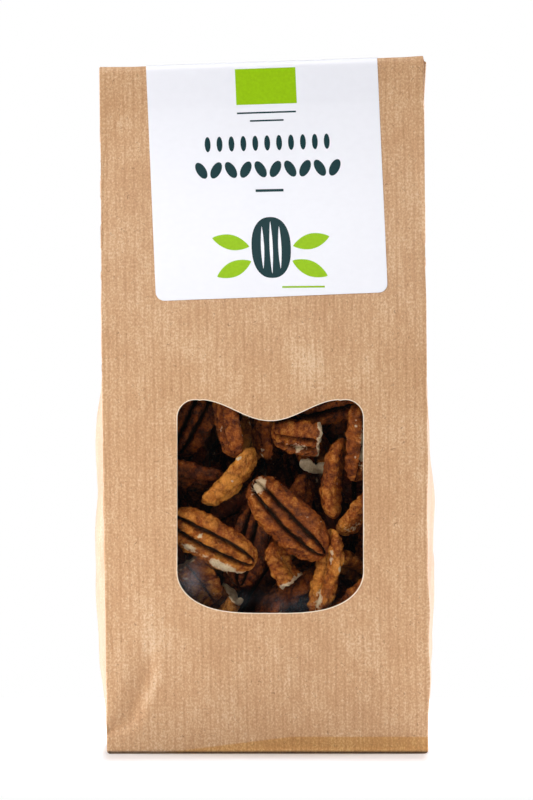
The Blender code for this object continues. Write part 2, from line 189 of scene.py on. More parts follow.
def ribbedKraft():
    # Machine-glazed ribbed kraft: long fibres, so streaky and flecked, with fine ribs pressed along
    # the web. Nearly matt.
    look = {
        "dark": "#B5875E",
        "mid": "#C69A70",
        "light": "#DDBC98",
        "fleck": "#8F6844",
        "glued": "#FFF2C6",
        "ribPitch": 3.07,  # these six are sizes in mm
        "ribWander": 25.0,
        "grain": 0.62,  # real fibres are some 0.03 wide, too fine to show, so these two are coarser
        "fibre": 0.9,
        "cloud": 16.0,
        "hair": 3.0,
        "weights": {"ribs": -0.16, "grain": 1.10, "fibres": 0.42, "clouds": 0.50, "patches": 0.22},
        "creasePale": 0.30,
        # footShade: the painted shade at the foot, the share of its colour the paper keeps there
        "footShade": 0.10,
        "fuzz": 0.30,  # stray fibre ends, pale along the light
        "roughness": 0.60,
        "ior": 1.50,
    }
    weights, pitch, hair = look["weights"], look["ribPitch"], look["hair"]
    material, tree, shader = newMaterial("ribbedKraftPaper")
    uv = addNode(tree, "UVMap", uv_map="sheet")
    split = addNode(tree, "SeparateXYZ", {0: uv})
    across, up = split.outputs[0], split.outputs[1]
    drift = addNode(tree, "TexNoise", {"Vector": uv, "Scale": 1 / look["ribWander"], "Detail": 2.0})
    wander = addNode(tree, "Math", {0: drift, 1: 1.6, 2: across}, operation="MULTIPLY_ADD")

    def streaks(wide, tall, detail):
        mapped = addNode(tree, "Mapping", {"Vector": uv, "Scale": (1 / wide, 1 / tall, 1.0)})
        return addNode(tree, "TexNoise", {"Vector": mapped, "Scale": 1.0, "Detail": detail})

    def ribLines(pitch, sharpness, dash):
        # Thin lines pressed in at the pitch, broken into dashes
        turns = addNode(tree, "Math", {0: wander, 1: math.tau / pitch}, operation="MULTIPLY")
        wave = addNode(tree, "Math", {0: turns}, operation="COSINE")
        line = addNode(tree, "MapRange", {0: wave, 1: sharpness, 2: 1.0, 3: 0.0, 4: 1.0})
        gaps = streaks(pitch * 0.8, dash, 2.0)
        dashes = addNode(tree, "MapRange", {0: gaps, 1: 0.42, 2: 0.60, 3: 0.25, 4: 1.0})
        return addNode(tree, "Math", {0: line, 1: dashes}, operation="MULTIPLY")

    lines = ribLines(pitch, 0.35, 1.4)
    fineLines = ribLines(pitch / 2, 0.45, 1.1)
    ribs = addNode(tree, "Math", {0: fineLines, 1: 0.45, 2: lines}, operation="MULTIPLY_ADD")

    patterns = {
        "grain": streaks(look["grain"], look["grain"] * 1.3, 3.0),
        "fibres": streaks(look["fibre"], look["fibre"] * 9, 3.0),
        "clouds": streaks(look["cloud"], look["cloud"] * 1.5, 4.0),
        "patches": streaks(look["cloud"] * 0.3, look["cloud"] * 0.5, 3.0),
    }
    tone = addNode(tree, "Math", {0: ribs, 1: weights["ribs"], 2: 0.52}, operation="MULTIPLY_ADD")
    for name, source in patterns.items():
        centred = addNode(tree, "Math", {0: source, 1: 0.5}, operation="SUBTRACT")
        weighed = {0: centred, 1: weights[name], 2: tone}
        tone = addNode(tree, "Math", weighed, operation="MULTIPLY_ADD")
    # The crease mark paints the paper paler: partly paper whitened in the creases, partly a painted
    # highlight on raised creases and along the dent's rising edge
    crease = addNode(tree, "Attribute", attribute_name="crease").outputs["Fac"]
    paled = {0: crease, 1: look["creasePale"], 2: tone}
    tone = addNode(tree, "Math", paled, operation="MULTIPLY_ADD")
    ramp = addNode(tree, "ValToRGB", {0: tone})
    setStops(ramp, (0.22, look["dark"]), (0.5, look["mid"]), (0.80, look["light"]))
    specks = streaks(look["grain"] * 1.1, look["grain"] * 1.7, 1.0)
    isSpeck = addNode(tree, "MapRange", {0: specks, 1: 0.70, 2: 0.78, 3: 0.0, 4: 0.7})
    # Dark loose fibres: thin bent lines where a swirled noise passes its middle, mostly masked off
    curl = {"Vector": uv, "Scale": 1 / hair, "Detail": 1.0, "Distortion": 1.4}
    swirl = addNode(tree, "TexNoise", curl)
    offLine = addNode(tree, "Math", {0: swirl, 1: 0.5}, operation="SUBTRACT")
    fromLine = addNode(tree, "Math", {0: offLine}, operation="ABSOLUTE")
    thin = addNode(tree, "MapRange", {0: fromLine, 1: 0.004, 2: 0.014, 3: 1.0, 4: 0.0})
    groups = streaks(hair * 0.6, hair * 0.6, 1.0)
    sparse = addNode(tree, "MapRange", {0: groups, 1: 0.54, 2: 0.62, 3: 0.0, 4: 0.8})
    hairs = addNode(tree, "Math", {0: thin, 1: sparse}, operation="MULTIPLY")
    # The back seam's edge is a dark line, and the glue shows through beside it
    seam = frontSpan + sideSpan + bagWear["seamAt"]
    onSeam = addNode(tree, "Math", {0: across, 1: seam + 0.1, 2: 0.25}, operation="COMPARE")
    lined = addNode(tree, "Math", {0: onSeam, 1: 0.75, 2: hairs}, operation="MULTIPLY_ADD")
    isDark = addNode(tree, "Math", {0: isSpeck, 1: lined}, operation="MAXIMUM")
    flecks = {0: isDark, 6: ramp, 7: linear(look["fleck"])}
    flecked = addNode(tree, "Mix", flecks, data_type="RGBA").outputs[2]
    fromGlue = addNode(tree, "Math", {0: across, 1: seam + 4.5, 2: 3.0}, operation="COMPARE")
    damp = addNode(tree, "Math", {0: fromGlue, 1: 0.5}, operation="MULTIPLY")
    # The strip that turns under at the foot is tinted darker and more orange
    low, high = bagWear["turnUnderAcross"]
    lowEdge, highEdge = bagWear["turnUnder"]
    stripTop = addNode(tree, "MapRange", {0: across, 1: low, 2: high, 3: lowEdge, 4: highEdge})
    depth = addNode(tree, "Math", {0: stripTop, 1: up}, operation="SUBTRACT")
    onStrip = addNode(tree, "MapRange", {0: depth, 1: -0.15, 2: 0.35, 3: 0.0, 4: 1.0})
    onFront = addNode(tree, "Math", {0: across, 1: frontSpan / 2 + 0.3}, operation="LESS_THAN")
    glued = addNode(tree, "Math", {0: onStrip, 1: onFront, 2: damp}, operation="MULTIPLY_ADD")
    glue = {0: glued, 6: flecked, 7: linear(look["glued"])}
    tinted = addNode(tree, "Mix", glue, data_type="RGBA", blend_type="MULTIPLY").outputs[2]
    # and its last millimetre is darkened, a painted shade for its own fold's shade. The underside
    # itself isn't darkened.
    facing = addNode(tree, "SeparateXYZ", {0: addNode(tree, "NewGeometry").outputs["Normal"]})
    under = addNode(tree, "MapRange", {0: facing.outputs[2], 1: -0.7, 2: -0.9, 3: 0.0, 4: 1.5})
    lifted = addNode(tree, "Math", {0: up, 1: under}, operation="ADD")
    shade = addNode(tree, "MapRange", {0: lifted, 1: 0.4, 2: 1.15, 3: look["footShade"], 4: 1.0})
    foot = {0: 1.0, 6: tinted, 7: shade}
    footed = addNode(tree, "Mix", foot, data_type="RGBA", blend_type="MULTIPLY").outputs[2]
    pressed = {0: ribs, 1: -0.30, 2: patterns["grain"]}
    relief = addNode(tree, "Math", pressed, operation="MULTIPLY_ADD")
    bump = addNode(tree, "Bump", {"Height": relief, "Strength": 0.35, "Distance": 0.12 * mm})
    setInputs(shader, {"Base Color": footed, "Normal": bump, "Roughness": look["roughness"]})
    setInputs(shader, {"IOR": look["ior"], "Sheen Weight": look["fuzz"], "Sheen Roughness": 0.35})
    return material


def rawCutKraft():
    # The die-cut edge of the same paper, paler than its face
    material, _, shader = newMaterial("kraftCutEdge")
    setInputs(shader, {"Base Color": linear("#F0DEC6"), "Roughness": 0.85})
    return material


def clearFilm():
    # Cast polypropylene film, clear and glossy. It shows as its reflections, and in two patches as
    # a faint whitish haze, a painted reflection.
    look = {"straightOn": 0.016, "gloss": 0.10, "paintedReflection": "#C9CDD6", "paintedReflectionRoughness": 0.55}
    material, tree, shader = newMaterial("clearPolypropyleneFilm")
    setInputs(shader, {"Base Color": linear(look["paintedReflection"]), "Roughness": look["paintedReflectionRoughness"]})
    clear = addNode(tree, "BsdfTransparent")
    # A painted reflection: a whitish diffuse haze mixed in by the film's mark
    paintedReflection = addNode(tree, "Attribute", attribute_name="paintedReflection").outputs["Fac"]
    withPaintedReflection = addNode(tree, "MixShader", {0: paintedReflection, 1: clear, 2: shader})
    gloss = addNode(tree, "BsdfAnisotropic", {"Color": (1, 1, 1, 1), "Roughness": look["gloss"]})
    # How much each face mirrors: little straight on, nearly all at a glancing angle, both ways
    away = addNode(tree, "LayerWeight", {"Blend": 0.5}).outputs["Facing"]
    steep = addNode(tree, "Math", {0: away, 1: 5.0}, operation="POWER")
    mirror = addNode(tree, "MapRange", {0: steep, 3: look["straightOn"], 4: 1.0})
    surface = addNode(tree, "MixShader", {0: mirror, 1: withPaintedReflection, 2: gloss})
    setInputs(tree.nodes["Material Output"], {"Surface": surface})
    return material


def coatedLabel():
    # Clay-coated white label paper: smooth, cool white, a soft sheen
    look = {"shade": "#ECECF2", "white": "#F1F1F7", "mottle": 2.857, "roughness": 0.38}
    material, tree, shader = newMaterial("coatedLabelPaper")
    uv = addNode(tree, "UVMap", uv_map="sheet")
    mottle = addNode(tree, "TexNoise", {"Vector": uv, "Scale": 1 / look["mottle"], "Detail": 4.0})
    whites = {0: mottle, 6: linear(look["shade"]), 7: linear(look["white"])}
    colour = addNode(tree, "Mix", whites, data_type="RGBA").outputs[2]
    bump = addNode(tree, "Bump", {"Height": mottle, "Strength": 0.08, "Distance": 0.05 * mm})
    setInputs(shader, {"Base Color": colour, "Normal": bump, "Roughness": look["roughness"]})
    return material


def printInk(name, colour):
    # Flexo ink on the coating: flat colour, a little glossier than the paper
    look = {"dot": 0.8, "roughness": 0.45, "gloss": 0.2}  # dot in mm, as coarse as it needs to show
    material, tree, shader = newMaterial(name)
    place = addNode(tree, "NewGeometry").outputs["Position"]
    dots = {"Vector": place, "Scale": 1 / (look["dot"] * mm), "Detail": 2.0}
    ink = {0: addNode(tree, "TexNoise", dots), 1: 0.3, 2: 0.7, 3: 0.93, 4: 1.04}
    solid = {0: 1.0, 6: linear(colour), 7: addNode(tree, "MapRange", ink)}
    shade = addNode(tree, "Mix", solid, data_type="RGBA", blend_type="MULTIPLY").outputs[2]
    setInputs(shader, {"Base Color": shade, "Roughness": look["roughness"]})
    setInputs(shader, {"Specular IOR Level": look["gloss"]})
    return material


def pecanSkin():
    # A pecan half's seed coat: thin, waxy, golden to mahogany, darkest in the grooves with painted
    # shade there, rubbed through to cream flesh on the high places and rough cream where the half
    # is broken.
    look = {
        "groove": "#120401",
        "dark": "#4C1807",
        "mid": "#9A4A12",
        "gold": "#E09038",
        "flesh": "#FBEBC8",
        "fleshShade": "#B08650",
        "blotch": 6.0,  # these three are sizes in mm
        "wrinkle": 0.9,
        "pore": 0.35,  # coarser than the real cells of the skin, which are too fine to show
        "weights": {"high": 0.30, "broad": 0.30, "fine": 0.75, "pores": 0.55},
        "relief": 1.1,
        "ior": 1.52,
        "gloss": "#FFDCB4",
        "roughness": (0.26, 0.75),  # of the skin and of the flesh
    }
    material, tree, shader = newMaterial("pecanSeedCoat")
    place = addNode(tree, "Attribute", attribute_name="own").outputs["Vector"]
    tone, groove, flesh, high = (
        addNode(tree, "Attribute", attribute_name=mark).outputs["Fac"]
        for mark in ("tone", "groove", "flesh", "high")
    )

    def mottle(size, detail, rough):
        spots = {"Vector": place, "Scale": 1 / size, "Detail": detail, "Roughness": rough}
        return addNode(tree, "TexNoise", spots)

    broad = mottle(look["blotch"], 3.0, 0.55)
    fine = mottle(look["wrinkle"], 5.0, 0.62)
    pores = mottle(look["pore"], 2.0, 0.5)
    patterns = {"high": high, "broad": broad, "fine": fine, "pores": pores}
    level = tone
    for name, source in patterns.items():
        centred = addNode(tree, "Math", {0: source, 1: 0.5}, operation="SUBTRACT")
        weighed = {0: centred, 1: look["weights"][name], 2: level}
        level = addNode(tree, "Math", weighed, operation="MULTIPLY_ADD")
    ramp = addNode(tree, "ValToRGB", {0: level})
    setStops(ramp, (0.12, look["dark"]), (0.48, look["mid"]), (0.86, look["gold"]))
    # The groove mark takes the colour towards near black: the grooves' own darker skin, and painted
    # shade in the grooves, the wrinkles' creases and between the heap's halves
    grooved = {0: groove, 6: ramp, 7: linear(look["groove"])}
    shaded = addNode(tree, "Mix", grooved, data_type="RGBA").outputs[2]
    creams = {0: fine, 6: linear(look["flesh"]), 7: linear(look["fleshShade"])}
    crumb = addNode(tree, "Mix", creams, data_type="RGBA").outputs[2]
    # Flesh shows where its mark and the fine mottle together pass a level, so its edge is ragged
    rubbed = addNode(tree, "Math", {0: high, 1: 0.34, 2: flesh}, operation="MULTIPLY_ADD")
    ragged = addNode(tree, "Math", {0: fine, 1: 0.9, 2: rubbed}, operation="MULTIPLY_ADD")
    bare = addNode(tree, "MapRange", {0: ragged, 1: 1.02, 2: 1.16, 3: 0.0, 4: 1.0})
    colour = addNode(tree, "Mix", {0: bare, 6: shaded, 7: crumb}, data_type="RGBA").outputs[2]
    relief = addNode(tree, "Math", {0: pores, 1: 0.3, 2: fine}, operation="MULTIPLY_ADD")
    dents = {"Height": relief, "Strength": 1.0, "Distance": look["relief"] * mm}
    smooth, rough = look["roughness"]
    shine = addNode(tree, "MapRange", {0: bare, 1: 0.0, 2: 1.0, 3: smooth, 4: rough})
    setInputs(shader, {"Base Color": colour, "Normal": addNode(tree, "Bump", dents)})
    setInputs(shader, {"Roughness": shine, "IOR": look["ior"]})
    setInputs(shader, {"Specular Tint": linear(look["gloss"])})
    return material


def halfWidth(z):
    base, top = bagShape["baseHalfWidth"], bagShape["topHalfWidth"]
    return base + (top - base) * ease(z / bagShape["foldTop"])


def halfDepth(z):
    t = np.clip((z - bagShape["shoulder"]) / (bagShape["pressedAt"] - bagShape["shoulder"]), 0, 1)
    closing = 0.6 * ease(t) + 0.4 * t
    return bagShape["halfDepth"] + (bagShape["pressedHalf"] - bagShape["halfDepth"]) * closing


def hump(z, top):
    return np.sin(math.pi * np.clip(z / top, 0, 1))


def gussetFold(z):
    span = bagShape["gussetFolded"] - bagShape["gussetStart"]
    return bagShape["halfDepth"] * ease((z - bagShape["gussetStart"]) / span)


def footInset(z):
    # The panels turn under on a small radius at the floor
    r = bagShape["edgeRadius"]
    low = np.clip(r - z, 0, r)
    return r - np.sqrt(r * r - low * low)


def flapShift(z):
    # The flap behind shows as one small ear beside the fold
    below = bagShape["foldTop"] - bagShape["earDrop"] - z
    return bagShape["ear"] * np.exp(-((below / bagShape["earReach"]) ** 2))


def layerPlace(kind, at, layer):
    # (shift, y, z) of the flattened stack at a station: layer 0 is the front panel, 1 the back
    half = bagShape["pressedHalf"]
    if kind == "body":
        return 0.0, (2 * layer - 1) * (halfDepth(at) - footInset(at)), at + 0 * layer
    outer = bagShape["foldInner"] + 2 * half
    if kind == "fold":
        radius = outer + (bagShape["foldInner"] - outer) * layer
        y = half + bagShape["foldInner"] - radius * math.cos(at)
        z = bagShape["foldTop"] - outer + radius * math.sin(at)
        return flapShift(z) * (at > math.pi / 2), y, z
    y = halfDepth(at) + 2 * bagShape["foldInner"] + 2 * half * (1 - layer)
    return flapShift(at), y, at + 0 * layer


frontSpan = 2 * 55.3  # nominal widths along the sheet, in mm
sideSpan = 2 * bagShape["halfDepth"]
turnSpan = 2 * (frontSpan + sideSpan)
backMiddle = 1.5 * frontSpan + sideSpan
topScale = frontSpan / 2 / bagShape["topHalfWidth"]  # along the sheet for each mm across the top


def ringAt(kind, at, s):
    # One turn round the bag, s in mm from the front's left crease, on the outside of the paper
    s = np.mod(s, turnSpan)
    level = at if kind != "fold" else bagShape["foldTop"]
    width = halfWidth(level) - (footInset(level) if kind == "body" else 0)
    fold = gussetFold(level)
    front = s < frontSpan
    right = (s >= frontSpan) & (s < frontSpan + sideSpan)
    back = (s >= frontSpan + sideSpan) & (s < 2 * frontSpan + sideSpan)
    f = np.where(front, s / frontSpan, 0)
    f = np.where(right, (s - frontSpan) / sideSpan, f)
    f = np.where(back, (s - frontSpan - sideSpan) / frontSpan, f)
    f = np.where(s >= 2 * frontSpan + sideSpan, (s - 2 * frontSpan - sideSpan) / sideSpan, f)
    layer = np.where(front, 0.0, np.where(right, f, np.where(back, 1.0, 1 - f)))
    shift, y, z = layerPlace(kind, at, layer)
    fullness = hump(level, bagShape["sideBulgeTop"]) * np.sin(math.pi * f)
    inwards = fold * (1 - np.abs(2 * f - 1))
    x = np.where(front, (2 * f - 1) * width, (1 - 2 * f) * width)
    x = np.where(right, width - inwards + bagShape["rightBulge"] * fullness, x)
    x = np.where(~(front | right | back), -(width - inwards + bagShape["leftBulge"] * fullness), x)
    if kind == "body":
        full = bagShape["frontBulge"] * hump(level, bagShape["frontBulgeTop"])
        push = full * (1 - (2 * f - 1) ** 2)
        y = y - np.where(front, push, 0) + np.where(back, push, 0)
    above = ease((level - bagShape["shoulder"]) / (bagShape["foldTop"] - bagShape["shoulder"]))
    x = x + shift
    leaned = x + bagShape["footShift"] - bagShape["lean"] * z / bagShape["foldTop"]
    return np.stack([leaned, y + 0 * x, z + tilt * x * above], axis=1)


def sheetColumns():
    # Column places along s: a regular step, with more round each crease and along the back seam
    step = bagShape["gridStep"]
    creases = [0, frontSpan, frontSpan + sideSpan, 2 * frontSpan + sideSpan, turnSpan]
    middles = [frontSpan + sideSpan / 2, 2 * frontSpan + 1.5 * sideSpan]
    seam = backMiddle + bagWear["seamAt"]
    sharp = sorted(creases + middles + [seam, seam + bagWear["seamWidth"]])
    places = set()
    for start, end in zip(sharp, sharp[1:]):
        count = max(2, round((end - start) / step))
        places.update(start + (end - start) * i / count for i in range(count))
    for at in sharp:
        places.update((at + d) % turnSpan for d in bagShape["besideCrease"])
    return np.array(sorted(p for p in places if p < turnSpan - 1e-6))


def sheetRows():
    foot, pressed = bagShape["footRows"], bagShape["pressedAt"]
    count = round((pressed - foot[-1]) / bagShape["gridStep"])
    rise = list(np.linspace(foot[-1], pressed, count + 1)[1:])
    rise += list(np.linspace(pressed, bagShape["foldStart"], 8)[1:])
    rows = [("body", float(z)) for z in list(foot) + rise]
    rows += [("fold", math.radians(d)) for d in range(0, 181, 12)]
    drop = np.linspace(pressed, bagShape["flapEnd"], 11)
    return rows + [("flap", float(z)) for z in drop]


foldRun = {"start": 13.0, "length": 7.5, "end": 33.0}  # v over the fold, in mm past pressedAt


def rowHeights(rows):
    # v, in mm up the sheet: the height on the body, then on over the fold and down the flap
    top = bagShape["pressedAt"]
    values = []
    for kind, at in rows:
        if kind == "body":
            values.append(at)
        elif kind == "fold":
            values.append(top + foldRun["start"] + at / math.pi * foldRun["length"])
        else:
            values.append(top + foldRun["end"] + (top - at))
    return np.array(values)


def smoothNoise(s, v, size, seed):
    # Noise over the sheet that closes on itself round the bag
    radius = turnSpan / math.tau / size
    angle = s / turnSpan * math.tau
    around = [radius * np.cos(angle), radius * np.sin(angle), v / size + 31.7 * seed]
    return np.array([noise.noise(Vector(place)) for place in zip(*around)])


def softLine(s, v, start, end, width):
    # 1 on the line from start to end, falling to 0 at width from it
    start, end = np.array(start), np.array(end)
    along = end - start
    share = np.clip(((s - start[0]) * along[0] + (v - start[1]) * along[1]) / (along @ along), 0, 1)
    gap = np.hypot(s - start[0] - share * along[0], v - start[1] - share * along[1])
    return np.exp(-((gap / width) ** 2)), share


creaseLines = [
    # Start and end as (mm right of the front's middle, mm up), height, width, how pale it goes:
    # partly paper whitened in the crease, partly a painted highlight
    ((-41.0, 50.0), (-37.5, 30.0), 0.28, 4.0, 0.5),
    ((-32.0, 146.0), (-24.0, 137.0), 0.30, 4.5, 0.7),
    ((14.0, 139.0), (17.0, 124.0), 0.28, 3.5, 0.8),
    ((-52.0, 222.0), (-44.0, 214.0), 0.35, 3.0, 0.8),
    ((43.0, 205.0), (50.0, 187.0), 0.30, 3.5, 0.6),
    ((34.0, 19.0), (41.0, 13.0), 0.30, 0.8, 0.5),
    ((37.0, 14.5), (43.0, 10.5), -0.20, 0.7, 0.1),
    ((-48.0, 131.0), (44.0, 128.0), 0.22, 7.0, 0.25),
    ((-50.0, 84.0), (-54.5, 78.0), -0.45, 2.2, 0.4),
    ((-12.0, 32.0), (18.0, 27.0), 0.16, 6.0, 0.1),
    ((-28.0, 152.0), (36.0, 154.0), -0.16, 6.0, 0.0),
    ((41.5, 15.2), (45.2, 12.4), -0.16, 0.45, 0.5),
    ((43.8, 16.4), (47.6, 12.8), 0.14, 0.45, 0.5),
    ((40.6, 12.6), (44.2, 10.6), -0.14, 0.40, 0.4),
]


# The dent at the lower left: it sinks slowly from the side crease and comes up again sharply
footDent = {
    "valley": [(6.0, -55.0), (10.5, -46.8), (25.0, -40.8), (45.0, -38.5)],  # (mm up, mm right)
    "depth": 2.3,
    "slope": 8.0,
    "rise": 3.2,
    # paleEdge is a painted highlight where the dent comes up again
    "paleEdge": (0.9, 2.6, 1.7),  # (how pale, how far past the valley, width)
}


def footDents(x, v):
    past = x - np.interp(v, *zip(*footDent["valley"]))
    isLeft = (x < 0) * (x > -frontSpan / 2)
    depth = footDent["depth"] * ease((v - 5.5) / 4) * ease((44 - v) / 18) * isLeft
    fall = 1 - np.clip(-past / footDent["slope"], 0, 1)
    sunk = depth * np.where(past < 0, fall, 1 - ease(past / footDent["rise"]))
    # A painted highlight past the valley, on the side that faces the light
    pale, at, width = footDent["paleEdge"]
    edge = pale * np.exp(-(((past - at) / width) ** 2)) * ease((v - 12) / 8) * ease((34 - v) / 8)
    return sunk, edge * (x < 0) * (x > -50)


def sheetDents(s, v):
    # How far handling and the nuts push the paper out, and how pale the creases and the dent are
    # painted: partly whitened paper, partly painted highlight
    push = np.zeros_like(s)
    pale = np.zeros_like(s)
    for seed, (height, width) in enumerate(bagWear["waves"]):
        push += height * smoothNoise(s, v, width, seed) * 1.6
    height, width = bagWear["nutLumps"]
    start, growth, end, fade = bagWear["fill"]
    filled = ease((end - v) / fade) * ease((v - start) / growth)
    isSide = ((s > frontSpan) & (s < frontSpan + sideSpan)) | (s > 2 * frontSpan + sideSpan)
    lumps = height * (smoothNoise(s, v, width, 9) + 0.15) * filled
    push += lumps * np.where(isSide, bagWear["sideLumps"], 1.0)
    x = s - frontSpan / 2
    calm = bagWear["calm"]
    away = np.hypot(x, calm["squash"] * (v - calm["height"]))
    push *= 1 - calm["share"] * ease((calm["radius"] - away) / calm["fade"])
    for start, end, height, width, fade in creaseLines:
        line, share = softLine(x, v, start, end, width)
        line = line * np.sin(math.pi * (0.1 + 0.8 * share))
        push += height * line
        pale += fade * line * 0.5
    sunk, edge = footDents(x, v)
    push -= sunk
    pale += edge
    # The foot's strip, turned under
    strip = np.interp(x, bagWear["turnUnderAcross"], bagWear["turnUnder"])
    push -= bagWear["turnUnderSlope"] * np.clip(strip - v, 0, 10) * (x < frontSpan / 2)
    # The glued seam down the back
    seam = s - backMiddle - bagWear["seamAt"]
    wide = bagWear["seamWidth"]
    push += bagWear["seamStep"] * ease((seam + 0.2) / 0.4) * (seam < wide) * ease((wide - seam) / 3)
    start, growth = bagWear["pressedFrom"]
    pressed = ease((v - start) / growth)
    low, rise, side, fade = bagWear["labelled"]
    labelled = ease((v - low) / rise) * ease((side - np.abs(x)) / fade)
    push = push * (1 - 0.8 * pressed) * (1 - 0.65 * labelled) * ease(v / 2.5)
    return push, np.clip(pale, 0, 1)


class Sheet:
    # The bag's outer surface as a grid of places and normals, for everything that lies on it
    def __init__(self):
        self.s = sheetColumns()
        rows = sheetRows()
        self.v = rowHeights(rows)
        soft = bagShape["creaseSoftness"]
        nudges = np.array([-1.0, -0.5, 0.0, 0.5, 1.0]) * soft
        rings = [sum(ringAt(kind, at, self.s + d) for d in nudges) for kind, at in rows]
        plain = np.stack(rings) / len(nudges)
        self.normals = self.gridNormals(plain)
        across, up = np.meshgrid(self.s, self.v)
        push, self.pale = sheetDents(across.ravel(), up.ravel())
        self.places = plain + self.normals * push.reshape(across.shape)[..., None]
        self.normals = self.gridNormals(self.places)

    def gridNormals(self, grid):
        along = np.roll(grid, -1, axis=1) - np.roll(grid, 1, axis=1)
        up = np.gradient(grid, axis=0)
        normal = np.cross(along, up)
        return normal / np.maximum(np.linalg.norm(normal, axis=2, keepdims=True), 1e-9)

    def at(self, s, v, lift=0.0):
        # The place in mm at (s, v) on the sheet, lift mm off it
        row = np.clip(np.interp(v, self.v, np.arange(len(self.v))), 0, len(self.v) - 1.001)
        ends = np.append(self.s, turnSpan)
        column = np.interp(np.mod(s, turnSpan), ends, np.arange(len(ends)))
        r, c = np.floor(row).astype(int), np.floor(column).astype(int)
        fr, fc = (row - r)[..., None], (column - c)[..., None]
        lift = np.asarray(lift)[..., None]
        found = 0
        for dr, wr in ((0, 1 - fr), (1, fr)):
            for dc, wc in ((0, 1 - fc), (1, fc)):
                index = (np.minimum(r + dr, len(self.v) - 1), (c + dc) % len(self.s))
                found = found + wr * wc * (self.places[index] + lift * self.normals[index])
        return found


def gridFaces(rows, columns, closed=False):
    faces = []
    for r in range(rows - 1):
        for c in range(columns if closed else columns - 1):
            d = (c + 1) % columns
            low, high = r * columns, (r + 1) * columns
            faces.append((low + c, low + d, high + d, high + c))
    return faces


def turnedOver(faces, total):
    # The same faces on a copy of the points that starts total points further on
    return [tuple(total + i for i in face[::-1]) for face in faces]


def edgeFaces(rim, total):
    # The strip between a closed rim and its copy
    return [(a, total + a, total + b, b) for a, b in zip(rim, rim[1:] + rim[:1])]


def thinSheet(rows, columns):
    # A grid, its copy turned over behind it, and the edge that joins them
    front, total = gridFaces(rows, columns), rows * columns
    rim = list(range(columns)) + [r * columns + columns - 1 for r in range(1, rows)]
    rim += [total - 1 - c for c in range(1, columns)]
    rim += [r * columns for r in range(rows - 2, 0, -1)]
    return front + turnedOver(front, total) + edgeFaces(rim, total)


# The die-cut window, in mm: heights, and how far the film reaches past it at the left and the right
windowShape = {
    "bottom": 47.8,
    "sideLow": 62.0,
    "horn": 120.6,
    "dip": 113.4,
    "hornRadius": 6.2,
    "filmPast": (8.25, 8.4),
    "bow": 0.62,  # below 1 squares off the round bottom
}


def windowOutline(grow=0.0, fine=1):
    # (x, z) in mm along the die-cut edge: a shield with a dipped top between two round horns
    cut = windowShape
    left, right = filmLow[0] / mm + cut["filmPast"][0], filmHigh[0] / mm - cut["filmPast"][1]
    middle, half = (left + right) / 2, (right - left) / 2
    points = []
    low, turns, dips = 28 * fine, 12 * fine, 24 * fine
    for i in range(low + 1):
        angle = math.pi * (1 + i / low)
        bow = abs(math.cos(angle)) ** cut["bow"] * math.copysign(1, math.cos(angle))
        drop = (cut["sideLow"] - cut["bottom"]) * math.sin(angle)
        points.append((middle + half * bow, cut["sideLow"] + drop))
    radius, horn = cut["hornRadius"], cut["horn"] - cut["hornRadius"]

    def hornPoints(x, first):
        angles = (math.radians(first + 105 * i / turns) for i in range(turns + 1))
        return [(x + radius * math.cos(a), horn + radius * math.sin(a)) for a in angles]

    points += hornPoints(right - radius, 0)
    reach = half - 1.25 * radius
    for i in range(1, dips):
        share = 1 - 2 * i / dips
        dip = 0.5 + 0.5 * math.cos(math.pi * share)
        points.append((middle + reach * share, cut["horn"] - (cut["horn"] - cut["dip"]) * dip))
    points += hornPoints(left + radius, 75)
    ring = np.array(points)
    way = np.roll(ring, -1, axis=0) - np.roll(ring, 1, axis=0)
    side = np.stack([way[:, 1], -way[:, 0]], axis=1)
    side /= np.maximum(np.linalg.norm(side, axis=1, keepdims=True), 1e-9)
    return ring + grow * side


def frontPlace(sheet, x, z, lift):
    # A place on the front panel from (x, z) as seen from the front
    level = np.asarray(z, float)
    lean = bagShape["footShift"] - bagShape["lean"] * level / bagShape["foldTop"]
    above = ease((level - bagShape["shoulder"]) / (bagShape["foldTop"] - bagShape["shoulder"]))
    fromMiddle = np.asarray(x, float) - lean
    s = (fromMiddle / halfWidth(level) + 1) / 2 * frontSpan
    return sheet.at(s, level - tilt * fromMiddle * above, lift)


# The folded flaps under the bag, in mm, and the floor inside above them
flapShape = {
    "thickness": 0.16,
    "overlap": 9.0,
    "inset": 0.7,
    "corner": 27.0,
    "narrowing": 0.8,  # how far the long flaps' corners come in, as a share of the tucks'
    "levels": {"tucks": 0.42, "backFlap": 0.24, "frontFlap": 0.06},
    "floor": 0.75,
    "floorShare": (0.975, 0.96, 0.0),
}
sharpFrom = math.radians(50)  # edges steeper than this are left sharp


